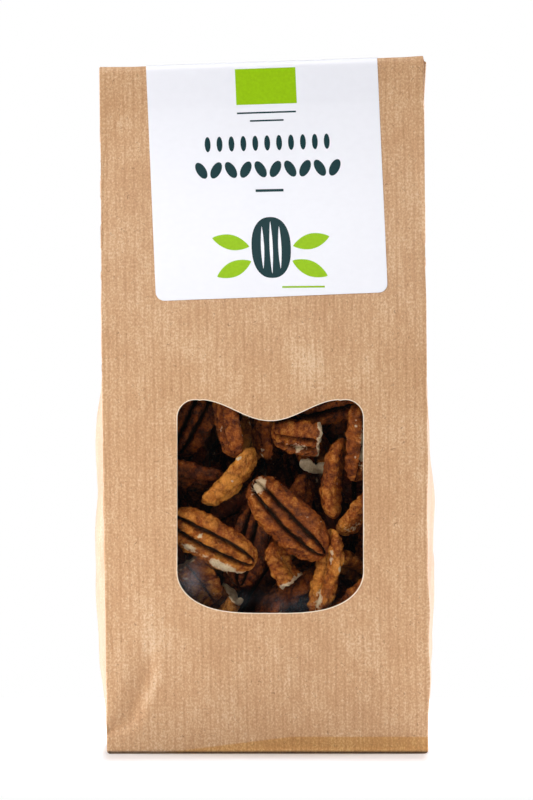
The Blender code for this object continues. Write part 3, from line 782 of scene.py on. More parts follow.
def paperBag(sheet, kraft, cutEdge):
    # The first ring is the floor inside
    rows, columns = len(sheet.v) + 1, len(sheet.s)
    foot = sheet.places[0]
    inner = foot.mean(axis=0) + (foot - foot.mean(axis=0)) * flapShape["floorShare"]
    inner[:, 2] = flapShape["floor"]
    points = np.concatenate([inner, sheet.places.reshape(-1, 3)]) * mm
    faces = gridFaces(rows, columns, closed=True)
    faces.append(tuple(range(columns))[::-1])
    across, up = np.meshgrid(sheet.s - frontSpan / 2, np.append(-0.5, sheet.v))
    uv = np.stack([across.ravel(), up.ravel()], axis=1)
    crease = np.concatenate([np.zeros(columns), np.ravel(sheet.pale)])
    bag = newObject("paperBag", points, faces, kraft, uv, {"crease": crease})
    bag.data.materials.append(cutEdge)
    solid = bag.modifiers.new("paperThickness", "SOLIDIFY")
    solid.thickness = bagShape["paper"] * mm
    solid.offset = -1.0
    outline = windowOutline()
    rim, count = list(range(len(outline))), len(outline)
    points = [(x * mm, filmLow[1] + away * mm, z * mm) for away in (-8, 8) for x, z in outline]
    faces = edgeFaces(rim, count) + [tuple(rim)] + turnedOver([rim], count)
    cutter = newObject("windowCutter", points, faces, cutEdge)
    cut = bag.modifiers.new("windowCut", "BOOLEAN")
    cut.operation = "DIFFERENCE"
    cut.solver = "EXACT"
    cut.object = cutter
    cut.material_mode = "TRANSFER"
    made = bpy.data.meshes.new_from_object(bag.evaluated_get(bpy.context.evaluated_depsgraph_get()))
    bag.modifiers.clear()
    bag.data = made
    made.name = "paperBag"
    made.set_sharp_from_angle(angle=sharpFrom)
    bpy.data.objects.remove(cutter, do_unlink=True)
    return placed(bag, "kraft_paper", "paper_bag")


# Rings round the window's pale bevel: (mm out from the cut, mm off the paper)
rimRings = ((0.14, 0.02), (0.02, 0.10), (-0.16, -0.02), (-0.16, -0.28), (0.14, -0.28))


def windowRim(sheet, cutEdge):
    rings = [frontPlace(sheet, *windowOutline(grow, 2).T, lift) for grow, lift in rimRings]
    count = len(rings[0])
    faces = []
    for r in range(len(rings)):
        onwards = (r + 1) % len(rings) - r
        faces += edgeFaces(list(range(r * count, (r + 1) * count)), onwards * count)
    rim = newObject("windowCutEdge", np.concatenate(rings) * mm, faces, cutEdge)
    return placed(rim, "kraft_paper")


# The film, in mm: how far it lies behind the paper, and its painted reflection patches as
# (strength, x, z, reach)
filmShape = {
    "behind": 0.72,
    "thickness": 0.06,
    "slack": 0.12,
    "slackSize": (14, 18),
    "grid": (60, 66),
    "inset": 0.3,
    "streaks": (5, 9),
    "paintedReflections": ((0.06, -24, 60, (5.0, 5.0)), (0.035, 3, 51, (13, 2.8))),
}


def windowFilm(sheet, film):
    low, high = filmLow / mm, filmHigh / mm
    columns, rows = filmShape["grid"]
    xs = np.linspace(low[0], high[0], columns)
    zs = np.linspace(low[2] + filmShape["inset"], high[2] - filmShape["inset"], rows)
    x, z = (grid.ravel() for grid in np.meshgrid(xs, zs))

    def ripple(size, seed):
        places = zip(x / size[0], z / size[1], np.full_like(x, seed))
        return np.array([noise.noise(Vector(place)) for place in places])

    # It is drawn tight over the nuts and slack between them
    slack = filmShape["slack"] * ripple(filmShape["slackSize"], 4.2)
    streak = 0.5 + ripple(filmShape["streaks"], 1.7)
    # Patches of painted reflection, streaked
    paintedReflection = np.zeros_like(x)
    for strength, atX, atZ, (wide, tall) in filmShape["paintedReflections"]:
        paintedReflection += strength * streak * np.exp(-(((x - atX) / wide) ** 2 + ((z - atZ) / tall) ** 2))
    behind = filmShape["behind"]
    lifts = (-behind - slack, -behind - filmShape["thickness"] - slack)
    points = np.concatenate([frontPlace(sheet, x, z, lift) for lift in lifts]) * mm
    marks = {"paintedReflection": np.tile(paintedReflection, 2)}
    clearSheet = newObject("windowFilm", points, thinSheet(rows, columns), film, marks=marks)
    return placed(clearSheet, "clear_film", "window_film")


labelShape = {
    "low": 155.6,
    "backLow": 160.0,
    "halfWidth": 39.8,
    "corner": 3.0,
    "thickness": 0.12,
    "lift": 0.10,
    "slant": 0.032,  # stuck on a little askew, so its lower edge rises to the right
    "step": 2.42,  # off the flap's end, down onto the back panel
    "stepHeight": 11.0,
    "columns": 81,
    "rowSteps": (1.2, 1.8),  # on the front, on the back
}


def labelRows(sheet):
    # The label's rows: v on the sheet up the front and over the fold, then heights on the back
    low, backLow, corner = labelShape["low"], labelShape["backLow"], labelShape["corner"]
    rounding = [corner * (1 - math.cos(math.radians(a))) for a in range(0, 91, 15)]
    frontStep, backStep = labelShape["rowSteps"]
    front = [low + d for d in rounding]
    front += list(np.arange(low + corner + 1.0, bagShape["pressedAt"] - 0.5, frontStep))
    front += [v for v in sheet.v if v >= bagShape["pressedAt"] - 0.01]
    back = list(np.arange(bagShape["flapEnd"] - 1.0, backLow + corner + 1, -backStep))
    return front, back + [backLow + d for d in rounding[::-1]]


def sealLabel(sheet, paper):
    half, corner = labelShape["halfWidth"], labelShape["corner"]
    low, foldTop = labelShape["low"], bagShape["foldTop"]
    front, back = labelRows(sheet)
    shares = np.linspace(-1, 1, labelShape["columns"])

    def widthAt(past):
        # Half the label's width at this distance from its end, where the corners are rounded
        past = min(past, corner)
        return half - (corner - math.sqrt(corner * corner - (corner - past) ** 2))

    def rowOn(v, lift):
        lean = tilt * max(foldTop - v, 2 * (v - foldTop))
        s = frontSpan / 2 + (shares * widthAt(v - low) + lean) * topScale
        askew = labelShape["slant"] * np.clip((foldTop - v) / (foldTop - low), 0, 1)
        return sheet.at(s, v + askew * shares * widthAt(v - low), lift)

    def rowBehind(z, lift):
        across = shares * widthAt(z - labelShape["backLow"]) + 2 * tilt * (foldTop - z)
        row = sheet.at(backMiddle - across * topScale, np.full_like(shares, z), lift)
        fallen = ease((bagShape["flapEnd"] - z) / labelShape["stepHeight"])
        row[:, 1] += labelShape["step"] * (1 - fallen)
        return row

    under = labelShape["lift"]
    points = np.concatenate([
        row
        for lift in (under + labelShape["thickness"], under)
        for row in [rowOn(v, lift) for v in front] + [rowBehind(z, lift) for z in back]
    ])
    count, wide = len(front) + len(back), len(shares)
    up = np.repeat(np.arange(count) * labelShape["rowSteps"][1], wide)
    uv = np.tile(np.stack([np.tile(shares * half, count), up], axis=1), (2, 1))
    label = newObject("sealLabel", points * mm, thinSheet(count, wide), paper, uv)
    label.data.set_sharp_from_angle(angle=sharpFrom)
    return placed(label, "white_label", "seal_label")


# The label's print: plain shapes only, placed in mm from the label's middle and from the floor
labelPrint = {
    "block": ((1.1, 228.55), (20.8, 12.7)),
    "fineRules": [((0.9, 219.3), (20.3, 0.55)), ((0.9, 216.5), (11.6, 0.55))],
    "ovalRow": {"middle": (0.7, 208.7), "count": 11, "pitch": 4.1, "size": (2.0, 5.3), "turn": 0.0},
    "boldRow": {"middle": (0.6, 199.6), "count": 10, "pitch": 5.1, "size": (3.3, 6.2), "turn": 0.5},
    "smallRule": ((0.8, 192.2), (9.6, 0.9)),
    "lastRule": ((11.0, 158.9), (14.6, 0.6)),
    "lift": 0.03,
    "sunk": 0.005,  # its underside, above the label
}

# The drawing on it, in mm and degrees
labelNut = {
    "middle": (0.5, 172.5),
    "nut": (13.5, 21.0),
    "squareness": 2.3,
    "leaf": (13.0, 5.2),
    "leafTurns": {"Right": 14, "Left": 166, "RightLow": -24, "LeftLow": 204},
    "leafGap": 1.0,
    "leafDrop": 1.5,
    "grooves": ((-0.22, 0.70), (0.0, 0.86), (0.22, 0.70)),  # aside and length, as shares of the nut
    "line": 1.1,
}


def printedShape(sheet, name, outline, middle, ink, rings=5, over=0.0):
    # A flat shape printed on the label: its outline in mm about its middle, in rings so it bends
    outline = np.array(outline)
    shares = np.linspace(0, 1, rings + 1)[1:]
    grid = np.concatenate([np.zeros((1, 2))] + [outline * share for share in shares])
    u, v = grid[:, 0] + middle[0], grid[:, 1] + middle[1]
    s = frontSpan / 2 + (u + tilt * (bagShape["foldTop"] - v)) * topScale
    base = labelShape["lift"] + labelShape["thickness"] + over
    lifts = (base + labelPrint["lift"], base + labelPrint["sunk"])
    points = np.concatenate([sheet.at(s, v, lift) for lift in lifts]) * mm
    n, total = len(outline), len(grid)
    top = [(0, 1 + i, 1 + (i + 1) % n) for i in range(n)]
    for r in range(rings - 1):
        low, high = 1 + r * n, 1 + (r + 1) * n
        top += [(low + i, high + i, high + (i + 1) % n, low + (i + 1) % n) for i in range(n)]
    rim = list(range(total - n, total))
    faces = top + turnedOver(top, total) + edgeFaces(rim, total)
    printed = newObject(name, points, faces, ink)
    printed.data.set_sharp_from_angle(angle=sharpFrom)
    return printed


def turned(points, turn):
    c, s = math.cos(turn), math.sin(turn)
    return [(x * c - y * s, x * s + y * c) for x, y in points]


def ovalOutline(width, height, count=28, square=2.0):
    points = []
    for i in range(count):
        c, s = math.cos(math.tau * i / count), math.sin(math.tau * i / count)
        x = abs(c) ** (2 / square) * math.copysign(width / 2, c)
        y = abs(s) ** (2 / square) * math.copysign(height / 2, s)
        points.append((x, y))
    return points


def blockOutline(width, height, step=1.2):
    w, h = width / 2, height / 2
    corners = [(-w, -h), (w, -h), (w, h), (-w, h)]
    points = []
    for (ax, ay), (bx, by) in zip(corners, corners[1:] + corners[:1]):
        count = max(1, round(math.hypot(bx - ax, by - ay) / step))
        points += [(ax + (bx - ax) * i / count, ay + (by - ay) * i / count) for i in range(count)]
    return points


def leafOutline(length, width, steps=24):
    shares = [i / steps for i in range(steps + 1)]
    upper = [(length * t, width / 2 * math.sin(math.pi * t) ** 0.8) for t in shares]
    return upper + [(x, -y) for x, y in upper[-2:0:-1]]


def labelDrawing(sheet, green, teal, white):
    # A nut between four leaves, cut up the middle by three pale lines
    x, v = labelNut["middle"]
    wide, tall = labelNut["nut"]
    outline = ovalOutline(wide, tall, 48, labelNut["squareness"])
    pieces = [printedShape(sheet, "drawnNut", outline, (x, v), teal, 7)]
    leaf, out = leafOutline(*labelNut["leaf"]), wide / 2 + labelNut["leafGap"]
    for name, degrees in labelNut["leafTurns"].items():
        turn = math.radians(degrees)
        start = (x + out * math.cos(turn), v - labelNut["leafDrop"] + out * math.sin(turn))
        pieces.append(printedShape(sheet, f"drawnLeaf{name}", turned(leaf, turn), start, green, 4))
    for i, (aside, share) in enumerate(labelNut["grooves"], 1):
        line = turned(leafOutline(share * tall, labelNut["line"]), math.pi / 2)
        start, over = (x + aside * wide, v - share * tall / 2), labelPrint["lift"]
        pieces.append(printedShape(sheet, f"drawnGroove{i}", line, start, white, 3, over))
    return pieces


def labelArt(sheet, inks):
    green, teal, white = inks

    def rule(name, place, ink):
        middle, size = place
        return printedShape(sheet, name, blockOutline(*size), middle, ink, 1)

    middle, size = labelPrint["block"]
    pieces = [printedShape(sheet, "greenBlock", blockOutline(*size, 1.5), middle, green, 6)]
    for i, place in enumerate(labelPrint["fineRules"], 1):
        pieces.append(rule(f"fineRule{i}", place, teal))
    for row in ("ovalRow", "boldRow"):
        spec = labelPrint[row]
        (x, v), count = spec["middle"], spec["count"]
        for i in range(count):
            outline = turned(ovalOutline(*spec["size"]), spec["turn"] * (-1) ** i)
            place = (x + (i - (count - 1) / 2) * spec["pitch"], v)
            pieces.append(printedShape(sheet, f"{row}{i + 1}", outline, place, teal, 3))
    pieces.append(rule("smallRule", labelPrint["smallRule"], teal))
    pieces.append(rule("lastRule", labelPrint["lastRule"], green))
    pieces += labelDrawing(sheet, green, teal, white)
    for piece in pieces:
        placed(piece, "white_label")
    return pieces


nutShape = {
    "grooveAt": 0.29,
    "grooveWidth": 0.085,
    "grooveDepth": 0.72,
    "bluntEnd": 3.4,
    "pointedEnd": 2.7,
    "endRounding": 0.43,
    "brokenLeft": 0.66,  # how much of a broken half is left
    "back": (0.92, 0.05),  # height of the back, and of the dip along its middle
    "inner": (0.50, 0.30, 0.34),  # depth of the flat side, height and width of its ridge
    "fissure": (0.22, 0.06),
    "arch": 0.20,
    "archShare": 0.72,  # a half's thickness without its arch
    "clearance": 0.995,
    "swells": (0.55, 6.5),  # (height, size) in mm of the broad lumps
    "folds": ((0.70, 3.2), (0.38, 1.6)),  # and of the rounded wrinkles with sharp creases between
    "stations": 74,
    "around": 84,
}

# Where the skin is rubbed off, by the half's number: along and across its back, how far, how much
wornPlaces = {
    1: [(-0.86, 0.1, 0.16, 0.5, 0.62)],
    2: [(0.45, -0.75, 0.5, 0.25, 0.72), (-0.3, -0.75, 0.3, 0.2, 0.62)],
    6: [(-0.7, 0.3, 0.3, 0.5, 0.72), (0.3, 0.6, 0.3, 0.2, 0.55)],
    9: [(-0.2, -0.2, 0.35, 0.4, 0.60)],
    10: [(-0.4, 0.4, 0.3, 0.3, 0.62)],
    14: [(-0.6, 0.3, 0.3, 0.5, 0.55)],
    15: [(0.0, 0.3, 0.7, 0.3, 0.58)],
    18: [(-0.5, 0.4, 0.4, 0.3, 0.60)],
    24: [(0.2, 0.4, 0.4, 0.3, 0.50)],
    25: [(0.2, 0.0, 0.35, 0.6, 0.72)],
}

# How golden each half by the window is, 0 mahogany and 1 gold. The rest are drawn by chance.
windowTones = [
    0.42, 0.58, 0.74, 0.48, 0.54, 0.62, 0.24, 0.20, 0.42, 0.36, 0.50, 0.32, 0.26, 0.56,
    0.40, 0.55, 0.70, 0.42, 0.50, 0.22, 0.12, 0.36, 0.10, 0.30, 0.60, 0.12, 0.14, 0.10,
]


def ringPlaces(count):
    # (across, side) round a half: the back from +1 to -1, close together at its grooves, then the
    # inner side
    g, turn = nutShape["grooveAt"], math.pi / (count // 3)
    dense = [at + d for at in (g, -g) for d in (-0.12, -0.075, -0.035, 0, 0.035, 0.075, 0.12)]
    back = [math.cos(turn * i) for i in range(count // 3 + 1)] + dense
    inner = [-math.cos(turn * i) for i in range(1, count // 3)] + [-0.04, 0.04, -0.12, 0.12]
    places = [(a, 1) for a in sorted({round(a, 4) for a in back}, reverse=True)]
    return places + [(a, -1) for a in sorted({round(a, 4) for a in inner})]


def nutNoise(points, size, seed):
    offset = Vector((seed * 7.31, seed * 3.17, seed * 1.93))
    return np.array([noise.noise(Vector(p) / size + offset) for p in points])


def pecanHalf(length, width, thickness, seed, broken, detail=1.0):
    # Points in mm about the half's own middle: length on X, width on Y, grooved back to +Z. Also
    # its faces and marks.
    chance = random.Random(seed)
    places = ringPlaces(round(nutShape["around"] * detail))
    across, side = (np.array(part) for part in zip(*places))
    end = -1 + 2 * nutShape["brokenLeft"] if broken else 1.0
    at = -np.cos(np.linspace(0, math.pi, round(nutShape["stations"] * detail)))
    if broken:
        at = np.append(at[at < end - 0.02], end)
    at = at[1:] if broken else at[1:-1]
    at = at[:, None]
    power = np.where(at < 0, nutShape["bluntEnd"], nutShape["pointedEnd"])
    swell = (1 - np.abs(at) ** power) ** nutShape["endRounding"]
    g = nutShape["grooveAt"] + chance.uniform(-0.03, 0.03)
    grooveWidth = nutShape["grooveWidth"] * chance.uniform(0.85, 1.25)
    sway = 0.05 * np.sin(at * 2.3 + chance.uniform(0, 6))
    a = across[None, :]
    groove = np.exp(-(((np.abs(a - sway) - g) / grooveWidth) ** 2)) * (side > 0)
    crown = (1 - np.abs(a) ** 2.5) ** 0.5
    middle = np.exp(-((a / 0.22) ** 2))
    if broken:
        groove = groove * (1 - 0.95 * ease((at - end + 0.25) / 0.25))
    high, dip = nutShape["back"]
    depth = nutShape["grooveDepth"] * groove * (0.85 + 0.15 * swell)
    back = high * crown - depth - dip * middle
    low, ridge, ridgeWidth = nutShape["inner"]
    slit, slitWidth = nutShape["fissure"]
    fissure = np.exp(-(((a - sway) / slitWidth) ** 2))
    hollow = -low * (1 - np.abs(a) ** 3) ** 0.5
    inner = hollow + ridge * np.exp(-((a / ridgeWidth) ** 2)) + slit * fissure
    height = np.where(side > 0, back, inner) - 0.05
    tall = thickness / 2 * (0.35 + 0.65 * swell) * np.minimum(1.0, swell * 1.4)
    arch = -nutShape["arch"] * thickness * (at * at - 0.3)
    x = at * length / 2 + 0 * a
    x = x * (1 - 0.055 * groove * np.abs(at) ** 6 - 0.02 * middle * np.abs(at) ** 4)
    y = a * width / 2 * swell * (1 + 0.04 * np.sin(3 * at + seed))
    z = height * tall + arch
    points = np.stack([x, y, z], axis=2).reshape(-1, 3)
    outwards = np.stack([0 * x, y, (height - 0.15) * tall], axis=2).reshape(-1, 3)
    outwards /= np.maximum(np.linalg.norm(outwards, axis=1, keepdims=True), 1e-6)
    lobes = (1 - groove).ravel() * np.repeat(swell[:, 0], len(places)) ** 0.5
    height, size = nutShape["swells"]
    lift = height * 1.5 * nutNoise(points, size, seed)
    crease = np.zeros(len(points))
    for i, (height, size) in enumerate(nutShape["folds"]):
        # Folds run across the half, a little aslant
        slant = points * [1.0, 0.55, 0.7]
        slant[:, 0] += 0.35 * np.abs(points[:, 1])
        fold = np.abs(nutNoise(slant, size, seed + 3 + i))
        lift += height * (2.2 * fold - 0.5)
        # crease goes into the groove mark as painted shade in the wrinkles' creases
        crease += (0.75 - 0.25 * i) * np.exp(-((fold / 0.055) ** 2))
    points = points + outwards * (lift * lobes)[:, None]
    rings, around = len(at), len(places)
    faces = gridFaces(rings, around, closed=True)
    # The groove mark: the grooves and the fissure, with painted shade in the creases
    dark = (groove + 0.8 * (side < 0) * fissure).ravel()
    marks = {"groove": np.clip(dark + 0.55 * crease * lobes, 0, 1)}
    worn = nutNoise(points, 4.5, seed + 20) * 1.2 + nutNoise(points, 1.6, seed + 21) * 0.5
    marks["flesh"] = np.clip((worn - chance.uniform(0.45, 0.75)) * 1.6, 0, 0.62) * lobes
    marks["high"] = np.clip(0.5 + lift * 0.9, 0, 1)
    along, aside = points[:, 0] / length * 2, points[:, 1] / width * 2
    for atX, atY, reachX, reachY, strength in wornPlaces.get(seed, ()):
        off = ((along - atX) / reachX) ** 2 + ((aside - atY) / reachY) ** 2
        marks["flesh"] = np.maximum(marks["flesh"], strength * np.exp(-off))
    if broken:
        # The break runs unevenly across, and the skin is chipped off beside it
        chipped = np.repeat(ease((at[:, 0] - end + 0.16) / 0.16), around)
        points[:, 0] += 1.5 * chipped * nutNoise(points * [0.15, 1, 1], 3.0, seed + 42)
        marks["flesh"] = np.maximum(marks["flesh"], 0.66 * chipped)
    points, faces, marks = closeEnds(points, faces, marks, rings, around, broken, seed)
    return points, [f[::-1] for f in faces], marks


def closeEnds(points, faces, marks, rings, around, broken, seed):
    # Round ends close on one point. A broken end closes over a rough, cream face.
    def addPoints(places, groove, flesh):
        nonlocal points
        start = len(points)
        points = np.vstack([points, places])
        for name, value in (("groove", groove), ("flesh", flesh), ("high", 0.5)):
            marks[name] = np.append(marks[name], np.full(len(points) - start, value))
        return start

    first = points[:around].mean(axis=0)
    tip = addPoints([(first[0] - 0.25, first[1], first[2])], 0.2, 0.0)
    faces += [(tip, (i + 1) % around, i) for i in range(around)]
    base = (rings - 1) * around
    last = points[base : base + around].copy()
    middle = last.mean(axis=0)
    if not broken:
        tip = addPoints([(middle[0] + 0.25, middle[1], middle[2])], 0.2, 0.0)
        faces += [(tip, base + i, base + (i + 1) % around) for i in range(around)]
        return points, faces, marks
    marks["flesh"][base : base + around] = 0.7
    previous = base
    for share in (0.93, 0.78, 0.58, 0.36, 0.16):
        ring = middle + (last - middle) * share
        crumble = 0.9 * nutNoise(ring, 2.4, seed + 40) + 0.5 * nutNoise(ring, 1.1, seed + 41)
        ring[:, 0] += crumble - 0.8 * (1 - share)
        start = addPoints(ring, 0.0, 1.0)
        for i in range(around):
            j = (i + 1) % around
            faces.append((previous + i, previous + j, start + j, start + i))
        previous = start
    tip = addPoints([(middle[0] - 0.8, middle[1], middle[2])], 0.0, 1.0)
    faces += [(tip, previous + i, previous + (i + 1) % around) for i in range(around)]
    return points, faces, marks


def lieOf(node, broken):
    # A CAD half's middle, its size and its axes: length, width, and thickness towards its back
    mesh = node.data
    points = np.array([v.co for v in mesh.vertices])
    mesh.calc_loop_triangles()
    corners = points[np.array([t.vertices for t in mesh.loop_triangles])]
    first, second, third = corners.transpose(1, 0, 2)
    areas = np.linalg.norm(np.cross(second - first, third - first), axis=1)
    middles = corners.mean(axis=1)
    centre = (middles * areas[:, None]).sum(axis=0) / areas.sum()
    spread = ((middles - centre) * areas[:, None]).T @ (middles - centre)
    axes = np.linalg.eigh(spread)[1][:, ::-1].T
    local = (points - centre) @ axes.T
    low, high = local.min(axis=0), local.max(axis=0)
    size = high - low
    edges = np.abs(local[:, 1]) > 0.42 * size[1]
    if local[edges, 2].mean() > (low[2] + high[2]) / 2:
        axes[2] *= -1
    # A broken end is a flat ring of points at +X. Otherwise the blunt end, at -X, has more points
    near = 0.03 * size[0]
    ends = np.sum(local[:, 0] > high[0] - near) - np.sum(local[:, 0] < low[0] + near)
    if (ends < 0) == broken:
        axes[0] *= -1
    axes[1] = np.cross(axes[2], axes[0])
    local = (points - centre) @ axes.T
    low, high = local.min(axis=0), local.max(axis=0)
    return centre + ((low + high) / 2) @ axes, high - low, axes


# How light each kind of half is: most are golden brown, some mahogany
nutTones = {"spread": (0.16, 0.34), "darkShare": 0.4, "darkSpread": (0.0, 0.14)}


def nutTone(chance):
    if chance.random() < nutTones["darkShare"]:
        return chance.uniform(*nutTones["darkSpread"])
    return chance.uniform(*nutTones["spread"])


def layHalf(name, node, skin, number):
    broken = "broken" in node.name
    centre, size, axes = lieOf(node, broken)
    length = size[0] / mm / (nutShape["brokenLeft"] if broken else 1)
    thickness = size[2] / mm / nutShape["archShare"]
    points, faces, marks = pecanHalf(length, size[1] / mm, thickness, number, broken)
    low, high = points.min(axis=0), points.max(axis=0)
    points = (points - (low + high) / 2) * (size / mm / (high - low)) * nutShape["clearance"]
    tone = nutTone(random.Random(number * 3 + 1))
    if number <= len(windowTones):
        tone = windowTones[number - 1]
    marks["tone"] = np.full(len(points), tone)
    marks["own"] = points + number * 17.3
    half = newObject(name, centre + (points * mm) @ axes, faces, skin, marks=marks)
    return placed(half, "pecan_kernel", node.name)


def pecanHalves(skin):
    nodes = sorted(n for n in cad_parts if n.startswith("pecan_") and n != "pecan_heap")
    for name in nodes:
        _, kind, number = name.split("_")
        layHalf(f"pecan{kind.capitalize()}{number}", bpy.data.objects[name], skin, int(number))
    return len(nodes)


heapFill = {
    "pitch": (19.0, 12.5, 14.0),
    "margins": ((13, 10), (7, 6), (7, 3)),  # inside the heap's box, in mm
    "stagger": 6,
    "jitter": 3.5,
    "clear": 5.2,  # from a half's middle to the heap's side
    "size": (31.0, 15.5, 9.6),
    "kinds": 6,
    "detail": 0.42,
    "tilt": 0.5,
    "turns": (0, 30, 150, 200),
    "seed": 5,
}


def heapPlaces(tree, chance):
    # Staggered places through the space of the heap, in mm
    corners = (np.array(corner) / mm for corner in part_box("pecan_heap"))
    (x0, y0, z0), (x1, y1, z1) = (
        corner + sign * np.array([pair[end] for pair in heapFill["margins"]])
        for corner, sign, end in zip(corners, (1, -1), (0, 1))
    )
    stepX, stepY, stepZ = heapFill["pitch"]
    for i, z in enumerate(np.arange(z0, z1, stepZ)):
        for j, y in enumerate(np.arange(y0, y1, stepY)):
            for x in np.arange(x0 + heapFill["stagger"] * ((i + j) % 2), x1, stepX):
                place = np.array([x, y, z])
                place = place + [chance.uniform(-1, 1) * heapFill["jitter"] for _ in range(3)]
                if inside(tree, Vector(place) * mm, heapFill["clear"] * mm):
                    yield place


def pecanHeap(skin):
    # The rest of the fill: loose halves at a coarser grain, through the space of the CAD heap
    heap = bpy.data.objects["pecan_heap"].data
    polygons = [tuple(p.vertices) for p in heap.polygons]
    tree = BVHTree.FromPolygons([v.co for v in heap.vertices], polygons)
    chance = random.Random(heapFill["seed"])
    kinds = [
        pecanHalf(*heapFill["size"], 60 + k, False, detail=heapFill["detail"])
        for k in range(heapFill["kinds"])
    ]
    points, faces = [], []
    marks = {"groove": [], "flesh": [], "high": [], "tone": [], "own": []}
    total = 0
    for place in heapPlaces(tree, chance):
        shape, kindFaces, kindMarks = kinds[chance.randrange(len(kinds))]
        nod = Matrix.Rotation(chance.uniform(-heapFill["tilt"], heapFill["tilt"]), 3, "X")
        roll = Matrix.Rotation(chance.uniform(0, math.tau), 3, "Y")
        face = Matrix.Rotation(math.radians(90 + chance.choice(heapFill["turns"])), 3, "X")
        turn = np.array(nod @ roll @ face)
        points.append(fitInside(tree, shape @ turn.T, place) * mm)
        faces += [tuple(total + k for k in f) for f in kindFaces]
        # Painted shade: every heap half is darkened all over for the shade between the halves
        marks["groove"].append(0.35 + 0.65 * kindMarks["groove"])  # it is dark between them
        marks["flesh"].append(kindMarks["flesh"])
        marks["high"].append(kindMarks["high"])
        marks["tone"].append(np.full(len(shape), nutTone(chance)))
        marks["own"].append(shape + chance.uniform(0, 300))
        total += len(shape)
    marks = {name: np.concatenate(values) for name, values in marks.items()}
    pile = newObject("pecanHeap", np.concatenate(points), faces, skin, marks=marks)
    placed(pile, "pecan_kernel", "pecan_heap")
    return len(points)


def inside(tree, place, margin):
    found, normal, _, gap = tree.find_nearest(place)
    return gap > margin and (place - found).dot(normal) < 0


def fitInside(tree, shape, place):
    # Slides a half until its points keep inside the heap
    here = shape + place
    for _ in range(6):
        worst, move = 0.0, None
        for point in here[:: max(1, len(here) // 60)]:
            found, normal, _, gap = tree.find_nearest(Vector(point) * mm)
            if (Vector(point) * mm - found).dot(normal) > 0 and gap > worst:
                worst, move = gap, np.array(found) / mm - point
        if move is None:
            break
        here = here + move * 1.05
    return here


def bottomFlaps(sheet, kraft):
    # The block bottom as it is folded: side tucks first, then the back flap and the front flap
    low, high = sheet.places[0].min(axis=0), sheet.places[0].max(axis=0)
    x0, x1 = low[0] + flapShape["inset"], high[0] - flapShape["inset"]
    y0, y1 = low[1] + flapShape["inset"], high[1] - flapShape["inset"]
    cut, lap, levels = flapShape["corner"], flapShape["overlap"], flapShape["levels"]
    come = cut * flapShape["narrowing"]
    outlines = [
        ([(x0, y0), (x0 + cut, 0), (x0, y1)], levels["tucks"]),
        ([(x1, y1), (x1 - cut, 0), (x1, y0)], levels["tucks"]),
        ([(x0, y1), (x0 + come, -lap), (x1 - come, -lap), (x1, y1)], levels["backFlap"]),
        ([(x1, y0), (x1 - come, lap), (x0 + come, lap), (x0, y0)], levels["frontFlap"]),
    ]
    points, faces = [], []
    for outline, level in outlines:
        n = len(outline)
        rim = list(range(len(points), len(points) + n))
        points += [(x, y, z) for z in (level, level + flapShape["thickness"]) for x, y in outline]
        faces += [tuple(rim)] + turnedOver([rim], n) + edgeFaces(rim, n)
    uv = [(x + 300, y + 100) for x, y, _ in points]  # clear of the sheet's foot and seam
    flaps = newObject("bottomFlaps", np.array(points) * mm, faces, kraft, uv)
    flaps.data.shade_flat()
    work = bmesh.new()
    work.from_mesh(flaps.data)
    bmesh.ops.recalc_face_normals(work, faces=work.faces)
    work.to_mesh(flaps.data)
    work.free()
    return placed(flaps, "kraft_paper")


# In metres, watts and sRGB
studio = {
    "cameraDistance": 2.6,
    "pictureHeight": 0.2721,
    "cameraHeight": 0.1204,
    "cameraAcross": 0.0004,
    "air": 0.04,
    "table": (1.0, 0.30, 0.45),
    "tableRoughness": 0.30,
    # tableGlow: the floor's painted glow, kept off near the bag
    "tableGlow": (0.004, 0.045, 1.0),  # it starts this far from the bag, is full here, this bright
    "glowEdges": {"sides": (0.052, 6.0), "back": (0.031, 1.0), "front": (-0.031, 0.3)},
    "lights": [
        # name, place, aimed at, width, height, watts, colour
        ("keyLight", (-0.50, -0.44, 0.42), (0, 0, 0.13), 0.3, 0.6, 2.8, "#FFFFFF"),
        ("fillLight", (0.75, -1.3, 0.6), (0, 0, 0.14), 0.9, 0.9, 0.3, "#FFFFFF"),
        ("leftEdgeLight", (-0.85, 0.30, 0.22), (-0.05, 0, 0.09), 0.5, 0.7, 12, "#E6EEFF"),
        ("rightEdgeLight", (0.85, 0.30, 0.22), (0.05, 0, 0.09), 0.5, 0.7, 14, "#E6EEFF"),
        ("topLight", (0.0, -0.45, 1.4), (0, 0, 0.1), 1.2, 1.2, 15.5, "#FFFFFF"),
    ],
}


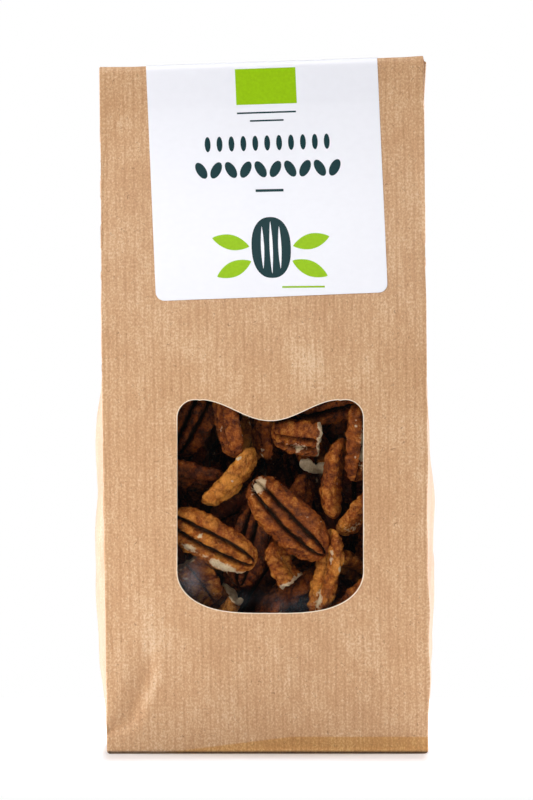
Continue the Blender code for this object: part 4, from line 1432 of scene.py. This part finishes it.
def paintedGlowAcrylic():
    # White acrylic, satin, with a painted glow away from the bag: a soft shadow and a faint warm
    # reflection of the bag
    material, tree, shader = newMaterial("paintedGlowAcrylic")
    split = addNode(tree, "SeparateXYZ", {0: addNode(tree, "NewGeometry").outputs["Position"]})
    aside = addNode(tree, "Math", {0: split.outputs[0]}, operation="ABSOLUTE")
    # The painted glow starts at once past the bag's sides and back. In front it grows slowly, so
    # the shadow stays.
    sources = {"sides": aside, "back": split.outputs[1], "front": split.outputs[1]}
    away = []
    for name, (edge, hurry) in studio["glowEdges"].items():
        span = {0: sources[name], 1: edge, 2: edge + math.copysign(1, edge), 4: hurry}
        away.append(addNode(tree, "MapRange", span))
    joined = addNode(tree, "CombineXYZ", dict(enumerate(away)))
    reach = addNode(tree, "VectorMath", {0: joined}, operation="LENGTH").outputs["Value"]
    start, full, bright = studio["tableGlow"]
    glow = {0: reach, 1: start, 2: full, 3: 0.0, 4: bright}
    strength = addNode(tree, "MapRange", glow, interpolation_type="SMOOTHSTEP")
    setInputs(shader, {"Base Color": linear("#E6E6E6"), "Roughness": studio["tableRoughness"]})
    setInputs(shader, {"Emission Color": (1, 1, 1, 1), "Emission Strength": strength})
    return material


def buildStudio():
    scene = bpy.context.scene
    scene.world = bpy.data.worlds.new("studioAir")
    scene.world.use_nodes = True
    tree = scene.world.node_tree
    tree.nodes.clear()
    seen = addNode(tree, "LightPath").outputs["Is Camera Ray"]
    shown = addNode(tree, "MapRange", {0: seen, 1: 0.0, 2: 1.0, 3: studio["air"], 4: 1.0})
    air = addNode(tree, "Background", {"Color": (1, 1, 1, 1), "Strength": shown})
    addNode(tree, "OutputWorld", {"Surface": air})
    for name, place, target, wide, tall, watts, colour in studio["lights"]:
        data = bpy.data.lights.new(name, "AREA")
        data.shape, data.size, data.size_y, data.energy = "RECTANGLE", wide, tall, watts
        data.color = linear(colour)[:3]
        lamp = bpy.data.objects.new(name, data)
        scene.collection.objects.link(lamp)
        lamp.location = place
        lamp.rotation_euler = (Vector(target) - Vector(place)).to_track_quat("-Z", "Y").to_euler()
    wide, near, far = studio["table"]
    corners = [(-wide, -near, 0), (wide, -near, 0), (wide, far, 0), (-wide, far, 0)]
    floor = newObject("studioFloor", corners, [(0, 1, 2, 3)], paintedGlowAcrylic())
    floor.location.z = cadBox[0][2] - 0.02 * mm
    camera = bpy.data.cameras.new("studioCamera")
    camera.sensor_fit, camera.sensor_height = "VERTICAL", 24.0
    camera.lens = camera.sensor_height * studio["cameraDistance"] / studio["pictureHeight"]
    viewer = bpy.data.objects.new("studioCamera", camera)
    scene.collection.objects.link(viewer)
    distance = filmLow[1] - studio["cameraDistance"]
    viewer.location = (studio["cameraAcross"], distance, studio["cameraHeight"])
    viewer.rotation_euler = (math.radians(90), 0, 0)
    scene.camera = viewer
    scene.view_settings.view_transform = "Standard"


kraft, cutEdge = ribbedKraft(), rawCutKraft()
skin = pecanSkin()
sheet = Sheet()
print("sheet", len(sheet.v), "x", len(sheet.s))
paperBag(sheet, kraft, cutEdge)
windowRim(sheet, cutEdge)
bottomFlaps(sheet, kraft)
print("bag folded and its window cut")
windowFilm(sheet, clearFilm())
sealLabel(sheet, coatedLabel())
inks = {"limeGreenInk": "#96C20C", "darkTealInk": "#0C3438", "whiteInk": "#F4F4FA"}
labelArt(sheet, [printInk(name, colour) for name, colour in inks.items()])
print("label printed and laid over the fold")
print("halves laid:", pecanHalves(skin))
print("halves in the heap:", pecanHeap(skin))
buildStudio()
print("studio set")
